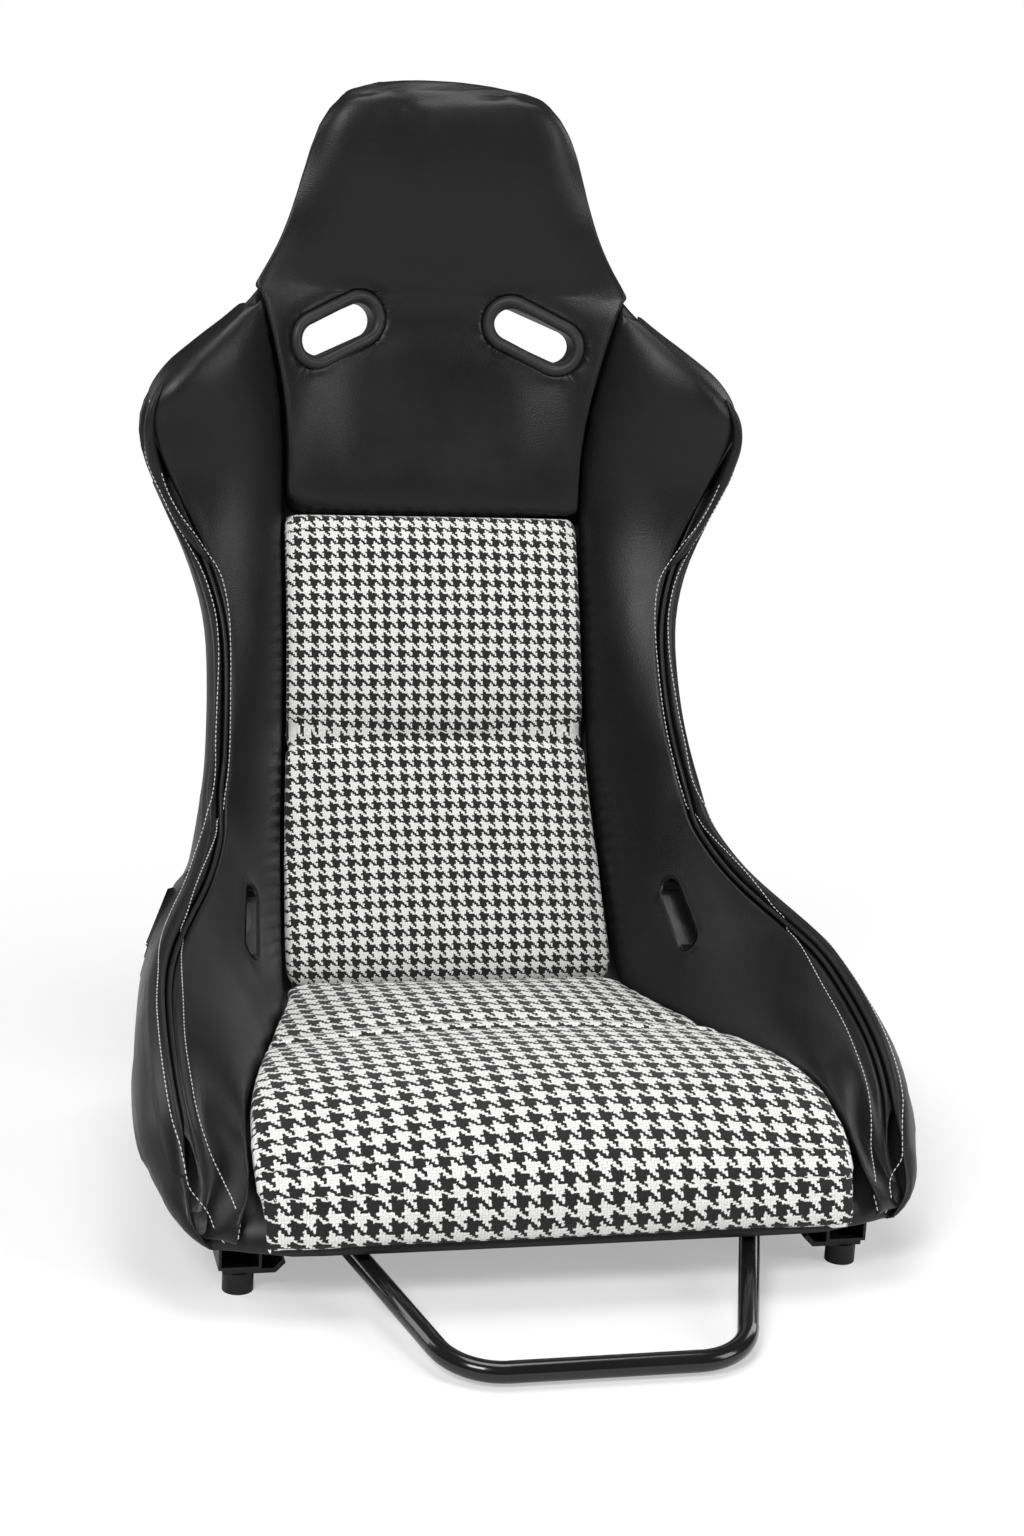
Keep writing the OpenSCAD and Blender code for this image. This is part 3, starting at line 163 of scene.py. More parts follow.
class SeatLooks(bpy.types.PropertyGroup):
    """Sizes and colours of the seat's upholstery that a user may change."""

    leather: bpy.props.FloatVectorProperty(
        name="Leather", description="Colour of the leather", subtype="COLOR", size=3,
        default=(0.0042, 0.0042, 0.0045), min=0, max=1)
    light_yarn: bpy.props.FloatVectorProperty(
        name="Light yarn", description="Light yarn of the houndstooth cloth", subtype="COLOR",
        size=3, default=(0.82, 0.815, 0.8), min=0, max=1)
    dark_yarn: bpy.props.FloatVectorProperty(
        name="Dark yarn", description="Dark yarn of the houndstooth cloth", subtype="COLOR",
        size=3, default=(0.016, 0.016, 0.017), min=0, max=1)
    thread: bpy.props.FloatVectorProperty(
        name="Thread", description="Contrast thread of the edge seams", subtype="COLOR",
        size=3, default=(0.46, 0.46, 0.45), min=0, max=1)
    seat_pitch: bpy.props.FloatProperty(
        name="Seat repeat", description="Repeat of the pattern on the seat cushion",
        subtype="DISTANCE", default=0.0172, min=0.005, max=0.05)
    back_pitch: bpy.props.FloatProperty(
        name="Back repeat", description="Repeat of the pattern on the back cushion",
        subtype="DISTANCE", default=0.0122, min=0.005, max=0.05)
    cloth_voxel: bpy.props.FloatProperty(
        name="Cloth mesh size", description="Voxel size of the cushions before padding",
        subtype="DISTANCE", default=0.005, min=0.003, max=0.01)
    stuffing: bpy.props.FloatProperty(
        name="Stuffing", description="Pressure that swells the pads", default=4, min=0, max=12)
    swell: bpy.props.FloatProperty(
        name="Swell", description="Furthest that a pad's surface may rise from its start",
        subtype="DISTANCE", default=0.006, min=0, max=0.03)
    draw_in: bpy.props.FloatProperty(
        name="Draw in", description="How far a pad starts inside its full size",
        subtype="DISTANCE", default=0.002, min=0, max=0.01)
    channel_depth: bpy.props.FloatProperty(
        name="Channel depth", description="Depth of the sewn cross channel of a cushion",
        subtype="DISTANCE", default=0.007, min=0, max=0.015)
    stitch_pitch: bpy.props.FloatProperty(
        name="Stitch spacing", description="Distance from one stitch to the next",
        subtype="DISTANCE", default=0.0042, min=0.002, max=0.01)
    stitch_length: bpy.props.FloatProperty(
        name="Stitch length", description="Visible length of a stitch",
        subtype="DISTANCE", default=0.0031, min=0.001, max=0.008)
    stitch_thickness: bpy.props.FloatProperty(
        name="Thread thickness", description="Thickness of the sewing thread",
        subtype="DISTANCE", default=0.0009, min=0.0003, max=0.002)
    corner_fill: bpy.props.FloatProperty(
        name="Corner fill", description="How far the flank swells at its front lower corner",
        subtype="DISTANCE", default=0.015, min=0, max=0.03)
    head_rise: bpy.props.FloatProperty(
        name="Head rise", description="How far the padding stands up along the head's top edge",
        subtype="DISTANCE", default=0.003, min=0, max=0.015)
    head_dome: bpy.props.FloatProperty(
        name="Head crown", description="How far the front of the head pad is crowned",
        subtype="DISTANCE", default=0.009, min=0, max=0.02)


# ---------- node helpers ----------
VECTOR, FLOAT = "NodeSocketVector", "NodeSocketFloat"


def put(tree, kind, values=None, **settings):
    """Adds a node, sets its own settings, and fills or links its inputs."""
    node = tree.nodes.new(kind)
    for key, value in settings.items():
        setattr(node, key, value)
    for key, value in (values or {}).items():
        if isinstance(value, bpy.types.NodeSocket):
            tree.links.new(value, node.inputs[key])
        else:
            node.inputs[key].default_value = value
    return node


def sums(tree, operation, a, b=None, c=None):
    """A Math node's result."""
    values = {0: a}
    if b is not None:
        values[1] = b
    if c is not None:
        values[2] = c
    return put(tree, "ShaderNodeMath", values, operation=operation).outputs[0]


def mixed(tree, factor, a, b, kind="FLOAT"):
    """A Mix node's result between a and b."""
    first, second, result = {"FLOAT": (2, 3, 0), "RGBA": (6, 7, 2)}[kind]
    node = put(tree, "ShaderNodeMix", {0: factor, first: a, second: b}, data_type=kind)
    return node.outputs[result]


def group(name, inputs, outputs):
    """A new shader group with named sockets, and its input and output nodes."""
    tree = bpy.data.node_groups.new(name, "ShaderNodeTree")
    for title, kind, default in inputs:
        socket = tree.interface.new_socket(title, in_out="INPUT", socket_type=kind)
        if default is not None:
            socket.default_value = default
    for title, kind in outputs:
        tree.interface.new_socket(title, in_out="OUTPUT", socket_type=kind)
    return tree, tree.nodes.new("NodeGroupInput"), tree.nodes.new("NodeGroupOutput")


def leather_grain_group():
    """Fine pebble grain of leather: cells, pores and a slow unevenness."""
    tree, start, end = group(
        "leather_grain", [("Place", VECTOR, None), ("Cells", FLOAT, 900.0), ("Slow", FLOAT, 14.0)],
        [("Height", FLOAT), ("Unevenness", FLOAT)])
    place = start.outputs["Place"]
    cells = put(tree, "ShaderNodeTexVoronoi", {"Vector": place, "Scale": start.outputs["Cells"]},
                feature="SMOOTH_F1").outputs["Distance"]
    pores = put(tree, "ShaderNodeTexNoise", {"Vector": place, "Scale": 2400.0, "Detail": 2.0})
    slow = put(tree, "ShaderNodeTexNoise",
               {"Vector": place, "Scale": start.outputs["Slow"], "Detail": 3.0, "Roughness": 0.55})
    height = sums(tree, "MULTIPLY_ADD", pores.outputs[0], 0.35, cells)
    tree.links.new(height, end.inputs["Height"])
    tree.links.new(slow.outputs[0], end.inputs["Unevenness"])
    return tree


def houndstooth_group():
    """Two-up two-down twill of four dark and four light yarns each way.

    Yarns are counted in whole numbers, so a limit lies half a yarn below the number it stands for.
    """
    tree, start, end = group(
        "houndstooth", [("Place", VECTOR, None), ("Repeat", FLOAT, 0.018), ("Fray", FLOAT, 0.35)],
        [("Dark", FLOAT), ("Yarn", FLOAT), ("Fibre", FLOAT)])
    place, fray = start.outputs["Place"], start.outputs["Fray"]
    count = sums(tree, "DIVIDE", REPEAT_YARNS, start.outputs["Repeat"])
    rough = put(tree, "ShaderNodeTexNoise", {"Vector": place, "Scale": 620.0, "Detail": 2.0})
    shake = put(tree, "ShaderNodeSeparateColor", {0: rough.outputs["Color"]})
    part = put(tree, "ShaderNodeSeparateXYZ", {0: place})
    ways = []
    for axis in (0, 1):
        off = sums(tree, "MULTIPLY", sums(tree, "SUBTRACT", shake.outputs[axis], 0.5),
                   sums(tree, "MULTIPLY", fray, 4.0))
        ways.append(sums(tree, "ADD", sums(tree, "MULTIPLY", part.outputs[axis], count), off))
    cell = [sums(tree, "FLOOR", way) for way in ways]
    dark = [sums(tree, "LESS_THAN", sums(tree, "FLOORED_MODULO", yarn, REPEAT_YARNS),
                 REPEAT_YARNS / 2 - 0.5) for yarn in cell]
    both = sums(tree, "ADD", cell[0], cell[1])
    over = sums(tree, "LESS_THAN", sums(tree, "FLOORED_MODULO", both, TWILL_YARNS),
                TWILL_YARNS / 2 - 0.5)
    round_off = [sums(tree, "ABSOLUTE", sums(tree, "SINE", sums(tree, "MULTIPLY", way, math.pi)))
                 for way in ways]
    fibre = put(tree, "ShaderNodeTexNoise", {"Vector": place, "Scale": 3200.0, "Detail": 2.0})
    tree.links.new(mixed(tree, over, dark[1], dark[0]), end.inputs["Dark"])
    tree.links.new(mixed(tree, over, round_off[1], round_off[0]), end.inputs["Yarn"])
    tree.links.new(fibre.outputs[0], end.inputs["Fibre"])
    return tree


def speckle_group():
    """A fine unevenness and a slow change of gloss, for all finishes but leather and cloth."""
    tree, start, end = group(
        "speckle", [("Place", VECTOR, None), ("Size", FLOAT, 700.0)],
        [("Height", FLOAT), ("Cloudy", FLOAT)])
    fine = put(tree, "ShaderNodeTexNoise",
               {"Vector": start.outputs["Place"], "Scale": start.outputs["Size"], "Detail": 3.0})
    slow = put(tree, "ShaderNodeTexNoise",
               {"Vector": start.outputs["Place"], "Scale": 22.0, "Detail": 4.0})
    tree.links.new(fine.outputs[0], end.inputs["Height"])
    tree.links.new(slow.outputs[0], end.inputs["Cloudy"])
    return tree


# Shader groups and finishes that are built so far, by name
GROUPS = {}
MATERIALS = {}


def shared(name):
    """The shared group of this name, built once."""
    makers = {"leather_grain": leather_grain_group, "houndstooth": houndstooth_group,
              "speckle": speckle_group}
    if name not in GROUPS:
        GROUPS[name] = makers[name]()
    return GROUPS[name]


def shader(name, colour, roughness, metallic=0.0, specular=0.25):
    """A new material's tree, its Principled node and its Object coordinates."""
    material = bpy.data.materials.new(name)
    material.use_nodes = True
    tree = material.node_tree
    surface = tree.nodes["Principled BSDF"]
    surface.inputs["Base Color"].default_value = (*colour, 1)
    surface.inputs["Roughness"].default_value = roughness
    surface.inputs["Metallic"].default_value = metallic
    surface.inputs["Specular IOR Level"].default_value = specular
    place = put(tree, "ShaderNodeTexCoord").outputs["Object"]
    MATERIALS[name] = material
    return tree, surface, place


def bump(tree, surface, height, distance, strength):
    """Feeds a height into the surface's normal."""
    node = put(tree, "ShaderNodeBump",
               {"Height": height, "Distance": distance, "Strength": strength})
    tree.links.new(node.outputs[0], surface.inputs["Normal"])


def spread_of(tree, value, low, high):
    """A value from 0.3 to 0.7 spread from low to high."""
    node = put(tree, "ShaderNodeMapRange",
               {"Value": value, "From Min": 0.3, "From Max": 0.7, "To Min": low, "To Max": high})
    return node.outputs[0]


def leather_material(name, colour, roughness, cells):
    """Soft black leather with a fine pebble grain."""
    tree, surface, place = shader(name, colour, roughness, specular=0.28)
    grain = put(tree, "ShaderNodeGroup", node_tree=shared("leather_grain"))
    tree.links.new(place, grain.inputs["Place"])
    grain.inputs["Cells"].default_value = cells
    tone = [value * 1.7 for value in colour]
    tree.links.new(mixed(tree, grain.outputs["Unevenness"], (*colour, 1), (*tone, 1), "RGBA"),
                   surface.inputs["Base Color"])
    gloss = spread_of(tree, grain.outputs["Unevenness"], low=roughness - 0.05, high=roughness + 0.06)
    tree.links.new(gloss, surface.inputs["Roughness"])
    bump(tree, surface, grain.outputs["Height"], distance=0.00022, strength=0.5)


def cloth_material(name, light, dark, repeat):
    """Houndstooth cloth on the cushion's own weave map, with painted shade between its yarns."""
    tree, surface, _ = shader(name, light, 0.9)
    surface.inputs["Sheen Weight"].default_value = 0.12
    surface.inputs["Sheen Roughness"].default_value = 0.5
    weave = put(tree, "ShaderNodeUVMap", uv_map="weave").outputs[0]
    cloth = put(tree, "ShaderNodeGroup", node_tree=shared("houndstooth"))
    tree.links.new(weave, cloth.inputs["Place"])
    cloth.inputs["Repeat"].default_value = repeat
    base = mixed(tree, cloth.outputs["Dark"], (*light, 1), (*dark, 1), "RGBA")
    shade = spread_of(tree, cloth.outputs["Fibre"], low=0.78, high=1.08)
    # Painted shade: each yarn's colour darkens towards its edges, as if shade fell between the yarns;
    # the fibre noise above gives a random tone
    painted_yarn_shade = sums(tree, "MULTIPLY_ADD", cloth.outputs["Yarn"], 0.35, 0.7)
    fibre_tone_and_painted_shade = sums(tree, "MULTIPLY", shade, painted_yarn_shade)
    toned = put(tree, "ShaderNodeVectorMath", {0: base}, operation="SCALE")
    tree.links.new(fibre_tone_and_painted_shade, toned.inputs["Scale"])
    tree.links.new(toned.outputs[0], surface.inputs["Base Color"])
    height = sums(tree, "MULTIPLY_ADD", cloth.outputs["Fibre"], 0.5, cloth.outputs["Yarn"])
    bump(tree, surface, height, distance=0.0004, strength=0.6)


def coat_material(name, colour, roughness, size, depth=0.00006, metallic=0.0, coat=0.0):
    """Paint, plastic, metal or thread with a fine unevenness and a slow change of gloss."""
    tree, surface, place = shader(name, colour, roughness, metallic)
    surface.inputs["Coat Weight"].default_value = coat
    surface.inputs["Coat Roughness"].default_value = 0.08
    peel = put(tree, "ShaderNodeGroup", node_tree=shared("speckle"))
    tree.links.new(place, peel.inputs["Place"])
    peel.inputs["Size"].default_value = size
    tone = [value * 1.35 + 0.002 for value in colour]
    tree.links.new(mixed(tree, peel.outputs["Cloudy"], (*colour, 1), (*tone, 1), "RGBA"),
                   surface.inputs["Base Color"])
    gloss = spread_of(tree, peel.outputs["Cloudy"], low=roughness * 0.85, high=roughness * 1.15)
    tree.links.new(gloss, surface.inputs["Roughness"])
    bump(tree, surface, peel.outputs["Height"], distance=depth, strength=0.4)


def finishes(looks):
    """Every finish of the seat."""
    leather_material("black_leather", looks.leather, 0.4, cells=850.0)
    leather_material("band_leather", looks.leather, 0.42, cells=1000.0)
    cloth_material("houndstooth_seat", looks.light_yarn, looks.dark_yarn, looks.seat_pitch)
    cloth_material("houndstooth_back", looks.light_yarn, looks.dark_yarn, looks.back_pitch)
    coat_material("sewing_thread", looks.thread, 0.7, size=3000.0, depth=0.0002)
    coat_material("shell_plastic", (0.009, 0.009, 0.0095), 0.4, size=500.0, depth=0.0001)
    coat_material("bezel_plastic", (0.018, 0.018, 0.019), 0.46, size=1600.0, depth=0.00012)
    coat_material("gloss_black", (0.006, 0.006, 0.0065), 0.2, size=160.0, depth=0.00008, coat=0.35)
    coat_material("coated_steel", (0.008, 0.008, 0.0085), 0.42, size=900.0)
    coat_material("rail_steel", (0.012, 0.012, 0.013), 0.38, size=900.0)
    coat_material("black_fastener", (0.01, 0.01, 0.011), 0.34, metallic=0.4, size=1200.0)
    coat_material("spacer_alloy", (0.009, 0.009, 0.0095), 0.36, size=1200.0)
    coat_material("zinc_steel", (0.5, 0.5, 0.49), 0.36, metallic=1.0, size=1500.0)
    coat_material("insert_brass", (0.52, 0.37, 0.16), 0.3, metallic=1.0, size=1500.0)
    coat_material("spring_steel", (0.28, 0.28, 0.29), 0.3, metallic=1.0, size=1500.0)
    coat_material("pale_plastic", (0.5, 0.49, 0.45), 0.5, size=1200.0)
    coat_material("hook_tape", (0.015, 0.015, 0.016), 0.85, size=1800.0, depth=0.0005)


def dress(*names):
    """Gives CAD nodes that stay, on their own bodies, the finish that the record names for them."""
    for name in names:
        mesh = NODES[name].data
        mesh.materials.clear()
        mesh.materials.append(MATERIALS[SLOTS[name]])


# ---------- mesh helpers ----------
def coords(mesh):
    """The places of a mesh's vertices."""
    flat = np.empty(len(mesh.vertices) * 3)
    mesh.vertices.foreach_get("co", flat)
    return flat.reshape(-1, 3)


def set_coords(mesh, places):
    """Moves a mesh's vertices to these places."""
    mesh.vertices.foreach_set("co", np.ascontiguousarray(places, dtype=np.float32).ravel())
    mesh.update()


def normals(mesh):
    """The directions in which a mesh's vertices face."""
    flat = np.empty(len(mesh.vertices) * 3)
    mesh.vertices.foreach_get("normal", flat)
    return flat.reshape(-1, 3)


def sewn_copy(node, name, crease=None):
    """A merged copy of a CAD node in whole quads, with creases where it folds past an angle."""
    form = bmesh.new()
    form.from_mesh(NODES[node].data)
    bmesh.ops.remove_doubles(form, verts=form.verts, dist=MERGE_DISTANCE)
    bmesh.ops.join_triangles(form, faces=form.faces, angle_face_threshold=QUAD_FOLD,
                             angle_shape_threshold=QUAD_SKEW)
    if crease is not None:
        layer = form.edges.layers.float.new("crease_edge")
        for edge in form.edges:
            if len(edge.link_faces) != 2 or edge.calc_face_angle(0) > crease:
                edge[layer] = 1.0
    mesh = bpy.data.meshes.new(name)
    form.to_mesh(mesh)
    form.free()
    mesh.shade_smooth()
    piece = bpy.data.objects.new(name, mesh)
    bpy.context.scene.collection.objects.link(piece)
    return piece


def applied(piece):
    """Turns a piece's modifiers into its mesh."""
    graph = bpy.context.evaluated_depsgraph_get()
    graph.update()
    mesh = bpy.data.meshes.new_from_object(piece.evaluated_get(graph))
    piece.modifiers.clear()
    old = piece.data
    piece.data = mesh
    bpy.data.meshes.remove(old)
    mesh.name = piece.name
    mesh.shade_smooth()
    return piece


def subdivided(piece, levels=1):
    """Rounds a piece off by subdivision."""
    divide = piece.modifiers.new("subdivide", "SUBSURF")
    divide.levels = divide.render_levels = levels
    return applied(piece)


def surface_tree(pieces):
    """A search tree over the surfaces of several pieces."""
    places, faces, base = [], [], 0
    for piece in pieces:
        mesh = piece.data
        places.append(coords(mesh))
        faces += [tuple(base + v for v in face.vertices) for face in mesh.polygons]
        base += len(mesh.vertices)
    return BVHTree.FromPolygons([tuple(p) for p in np.vstack(places)], faces)


def tree_of(names):
    """A search tree over several CAD nodes."""
    return surface_tree([NODES[name] for name in names])


def nearest(tree, places):
    """Distance from each place to a tree's surface."""
    return np.array([tree.find_nearest(Vector(p))[3] for p in places])


def relax(piece, rounds, hold):
    """Evens a mesh out, apart from what is held.

    In each round a vertex moves half way to the middle of its neighbours.
    """
    mesh = piece.data
    pairs = np.empty(len(mesh.edges) * 2, dtype=np.int64)
    mesh.edges.foreach_get("vertices", pairs)
    pairs = pairs.reshape(-1, 2)
    places = coords(mesh)
    count = np.bincount(pairs.ravel(), minlength=len(places))[:, None].clip(1)
    for _ in range(rounds):
        total = np.zeros_like(places)
        np.add.at(total, pairs[:, 0], places[pairs[:, 1]])
        np.add.at(total, pairs[:, 1], places[pairs[:, 0]])
        places += (total / count - places) * 0.5 * (1 - hold)[:, None]
    set_coords(mesh, places)


def ramp(value, span):
    """A smooth rise from 0 at the start of a span to 1 at its end, which may be the lower one."""
    share = np.clip((value - span[0]) / (span[1] - span[0]), 0, 1)
    return share * share * (3 - 2 * share)


def fill_corner(piece, reach, rounds):
    """Swells the flank's front lower corner outwards and evens what folds there."""
    places = coords(piece.data)
    x, y, z = places.T
    front = ramp(y, SWELL_Y) * ramp(np.abs(x), SWELL_X)
    level = np.exp(-((z - SWELL_HEIGHT) / SWELL_SPREAD) ** 2)
    places[:, 0] += np.sign(x) * reach * front * level
    set_coords(piece.data, places)
    near = ramp(y, EVEN_Y) * ramp(np.abs(x), EVEN_X) * ramp(z, EVEN_Z)
    relax(piece, rounds, 1 - near)


def raise_head(piece, rise, rounds, hold=0.0):
    """Stands the top edge of the head up, evens it and levels what only one side has."""
    places = coords(piece.data)
    places[:, 2] += rise * ramp(places[:, 2], HEAD_RISE_Z)
    strips = np.round(places[:, 0] / LEVEL_STEP).astype(int)
    highest = {}
    for strip, z in zip(strips, places[:, 2]):
        highest[strip] = max(z, highest.get(strip, 0))
    for i in np.nonzero(places[:, 2] > HEAD_LEVEL_Z)[0]:
        own = highest[strips[i]]
        level = min(own, highest.get(-strips[i], own)) + LEVEL_SLACK
        places[i, 2] = min(places[i, 2], level)
    set_coords(piece.data, places)
    free = ramp(places[:, 2], HEAD_EVEN_Z) * (1 - hold)
    relax(piece, rounds, 1 - free)
    grown_back = normals(piece.data) * (REGROWTH * rounds * free)[:, None]
    set_coords(piece.data, coords(piece.data) + grown_back)


def crown_head(piece, rise, near):
    """Crowns the padding's front above the bezels, highest midway between the head's edges."""
    places, way = coords(piece.data), normals(piece.data)
    x, z = places[:, 0], places[:, 2]
    front = ramp(-way[:, 1], CROWN_FACING) * ramp(near, CROWN_CLEAR)
    across = np.clip(1 - (x / HEAD_HALF_WIDTH) ** 2, 0, 1)
    up = ramp(z, CROWN_LOW) * ramp(z, CROWN_HIGH)
    set_coords(piece.data, places + way * (rise * front * across * up)[:, None])


def run_out(piece, tree, reach):
    """Lets both ends of a cap or welt run out flat onto the surface that it lies on."""
    places = coords(piece.data)
    run = places[:, 1] + places[:, 2]
    first, last = run.min(), run.max()
    stay = ramp(run, (first, first + reach)) * ramp(run, (last, last - reach))
    for i in np.nonzero(stay < 1)[0]:
        spot, normal, _, _ = tree.find_nearest(Vector(places[i]))
        flat = np.array(spot + normal * CAP_END_LIFT)
        places[i] = flat + (places[i] - flat) * stay[i]
    set_coords(piece.data, places)


# Each padded CAD node's piece, and how firmly each of its vertices is held
PADS = {}


def start_pad(node, name, voxel, rigid, looks):
    """Starts a pad as a fine copy of the CAD's, a little inside its full size.

    It is held where it meets the rigid nodes. A thin-edged pad has no voxel size, and keeps the
    CAD's own rows of faces.
    """
    piece = subdivided(sewn_copy(node, name))
    if voxel:
        remesh = piece.modifiers.new("remesh", "REMESH")
        remesh.mode = "VOXEL"
        remesh.voxel_size = voxel
        applied(piece)
    held = nearest(tree_of(rigid), coords(piece.data))
    hold = np.clip(1 - (held - HOLD_WITHIN) / HOLD_FADE, 0, 1)
    relax(piece, rounds=4, hold=hold * START_HOLD)
    places = coords(piece.data) - normals(piece.data) * looks.draw_in * (1 - hold)[:, None]
    set_coords(piece.data, places)
    PADS[node] = (piece, hold)


def stuff(looks):
    """Swells every pad with air pressure, no further than the swell, and keeps the result."""
    scene = bpy.context.scene
    starts = {}
    for node, (piece, hold) in PADS.items():
        starts[node] = coords(piece.data)
        pins = piece.vertex_groups.new(name="held")
        for share in np.unique(np.round(hold, 1)):
            members = np.nonzero(np.round(hold, 1) == share)[0].tolist()
            if share > 0:
                pins.add(members, float(share), "REPLACE")
        cloth = piece.modifiers.new("stuffing", "CLOTH")
        settings = cloth.settings
        settings.quality = 4
        settings.mass = 0.25
        settings.tension_stiffness = settings.compression_stiffness = 12
        settings.shear_stiffness = 6
        settings.bending_stiffness = 1.5
        settings.use_pressure = True
        settings.uniform_pressure_force = looks.stuffing
        settings.vertex_group_mass = "held"
        settings.effector_weights.gravity = 0
        cloth.collision_settings.use_collision = False
        cloth.point_cache.frame_start = 1
        cloth.point_cache.frame_end = STUFFING_FRAMES
    for number in range(1, STUFFING_FRAMES + 1):
        scene.frame_set(number)
    graph = bpy.context.evaluated_depsgraph_get()
    for node, (piece, hold) in PADS.items():
        body = piece.evaluated_get(graph)
        moved = coords(body.to_mesh())
        body.to_mesh_clear()
        piece.modifiers.clear()
        piece.vertex_groups.clear()
        shift = moved - starts[node]
        length = np.linalg.norm(shift, axis=1, keepdims=True).clip(1e-9)
        shift *= np.minimum(1, looks.swell * (1 - hold)[:, None] / length)
        set_coords(piece.data, starts[node] + shift)
        relax(piece, rounds=3, hold=hold)
    scene.frame_set(1)


def finish_piece(piece, material, slot, *replaced):
    """Material, body and the CAD nodes that a piece of the seat stands for. The slot is not used."""
    piece.data.materials.clear()
    piece.data.materials.append(MATERIALS[material])
    if replaced:
        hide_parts(*replaced)
    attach(piece, "seat")


# ---------- covers ----------
def front_line(node):
    """Middle line of a cushion's face, from its front or lower end up, as (y, z) points."""
    tree = tree_of([node])
    low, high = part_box(node)
    points = []
    for z in np.arange(low.z + LINE_INSET, high.z, LINE_STEP):
        start = Vector((LINE_INSET, low.y - RAY_START, z))
        hit = tree.ray_cast(start, Vector((0, 1, 0)))[0]
        if hit:
            points.append((hit.y, hit.z))
    lies_flat = high.y - low.y > high.z - low.z
    if lies_flat:
        # Its face turns from front to top where z - y is greatest, and rays from above follow the rest
        top = max(points, key=lambda p: p[1] - p[0])
        points = [p for p in points if p[0] <= top[0] + 0.001]
        for y in np.arange(points[-1][0] + LINE_INSET, high.y, LINE_STEP):
            hit = tree.ray_cast(Vector((LINE_INSET, y, RAY_START)), Vector((0, 0, -1)))[0]
            if hit:
                points.append((hit.y, hit.z))
    return np.array(points)


def along_line(line, places):
    """How far along a line each place lies, past its ends too, and how deep behind it."""
    starts, steps = line[:-1], np.diff(line, axis=0)
    size = np.linalg.norm(steps, axis=1)
    run = np.concatenate([[0], np.cumsum(size)])
    best = np.full(len(places), np.inf)
    along, depth = np.zeros(len(places)), np.zeros(len(places))
    for i, (a, s) in enumerate(zip(starts, steps)):
        off = places[:, 1:] - a
        share = np.clip(off @ s / (size[i] ** 2), 0, 1)
        gap = off - share[:, None] * s
        far = np.linalg.norm(gap, axis=1)
        closer = far < best
        best[closer] = far[closer]
        along[closer] = run[i] + share[closer] * size[i]
        side = gap @ np.array([s[1], -s[0]]) / size[i]
        depth[closer] = -side[closer]
    before, after = along < 1e-6, along > run[-1] - 1e-6
    along[before] -= best[before]
    along[after] += best[after]
    return along, depth


def weave_map(piece, line):
    """Weave map in metres: u goes across and round the sides, v along the face.

    Both get 2 added, so that no value of the map is below zero.
    """
    mesh = piece.data
    places = coords(mesh)
    along, depth = along_line(line, places)
    round_side = np.clip(depth - FACE_DEPTH, 0, None)
    across = places[:, 0] + np.sign(places[:, 0]) * round_side
    layer = mesh.uv_layers.new(name="weave")
    corner = np.empty(len(mesh.loops), dtype=np.int64)
    mesh.loops.foreach_get("vertex_index", corner)
    both = np.stack([across + 2, along + 2], axis=1)[corner]
    layer.data.foreach_set("uv", both.astype(np.float32).ravel())


def sew_channel(piece, line, at, depth):
    """Draws the face in along a sewn channel that crosses it."""
    places = coords(piece.data)
    along, below = along_line(line, places)
    middle = along_line(line, np.array([[0, *at]]))[0][0]
    pull = np.exp(-((along - middle) / CHANNEL_HALF_WIDTH) ** 2)
    pull *= np.clip(1 - (below - CHANNEL_REACH) / CHANNEL_FADE, 0, 1)
    set_coords(piece.data, places - normals(piece.data) * (pull * depth)[:, None])


def cover_cushion(piece, node, looks):
    """Sews a cushion's channel and lays its cloth."""
    at, share, cloth = CUSHIONS[node]
    line = front_line(node)
    sew_channel(piece, line, at, looks.channel_depth * share)
    weave_map(piece, line)
    finish_piece(piece, cloth, "houndstooth_cloth", node)


def cover_leather(piece, node, looks):
    """Raises and crowns the head pad, or swells a wing pad's corner, and covers it in leather."""
    if node == "head_pad":
        near = nearest(tree_of(BEZELS), coords(piece.data))
        raise_head(piece, looks.head_rise, rounds=12, hold=ramp(near, BEZEL_HOLD))
        crown_head(piece, looks.head_dome, near)
    else:
        fill_corner(piece, looks.corner_fill, rounds=7)
    finish_piece(piece, "black_leather", "black_leather", node)


# ---------- seams ----------
def smooth_path(points, side):
    """A rounded path through points in millimetres, evenly spaced and in metres, on one side."""
    p = np.array(points) / 1000 * (side, 1, 1)
    p = np.vstack([2 * p[0] - p[1], p, 2 * p[-1] - p[-2]])
    fine = []
    for i in range(1, len(p) - 2):
        for f in np.linspace(0, 1, POINTS_PER_SPAN, endpoint=False):
            a, b, c, d = p[i - 1:i + 3]
            fine.append(0.5 * (2 * b + (c - a) * f + (2 * a - 5 * b + 4 * c - d) * f * f
                               + (3 * b - a - 3 * c + d) * f ** 3))
    fine.append(p[-2])
    fine = np.array(fine)
    run = np.concatenate([[0], np.cumsum(np.linalg.norm(np.diff(fine, axis=0), axis=1))])
    at = np.linspace(0, run[-1], int(run[-1] / PATH_STEP))
    return np.stack([np.interp(at, run, fine[:, k]) for k in range(3)], axis=1)


def evened(path, rounds):
    """A path whose inner points are drawn between their neighbours."""
    for _ in range(rounds):
        path[1:-1] = (path[:-2] + 2 * path[1:-1] + path[2:]) / 4
    return path


def lay_on(tree, path, way):
    """Lays a path on the first surface that it meets against a direction, and evens and lifts it."""
    way = Vector(way).normalized()
    laid = []
    for point in path:
        spot = tree.ray_cast(Vector(point) + way * SEAM_RAY_START, -way, SEAM_RAY_REACH)[0]
        laid.append(tuple(spot or tree.find_nearest(Vector(point))[0]))
    raised = []
    for point in evened(np.array(laid), rounds=12):
        spot, normal, _, _ = tree.find_nearest(Vector(point))
        raised.append(tuple(spot + normal * STITCH_LIFT))
    return evened(np.array(raised), rounds=2)


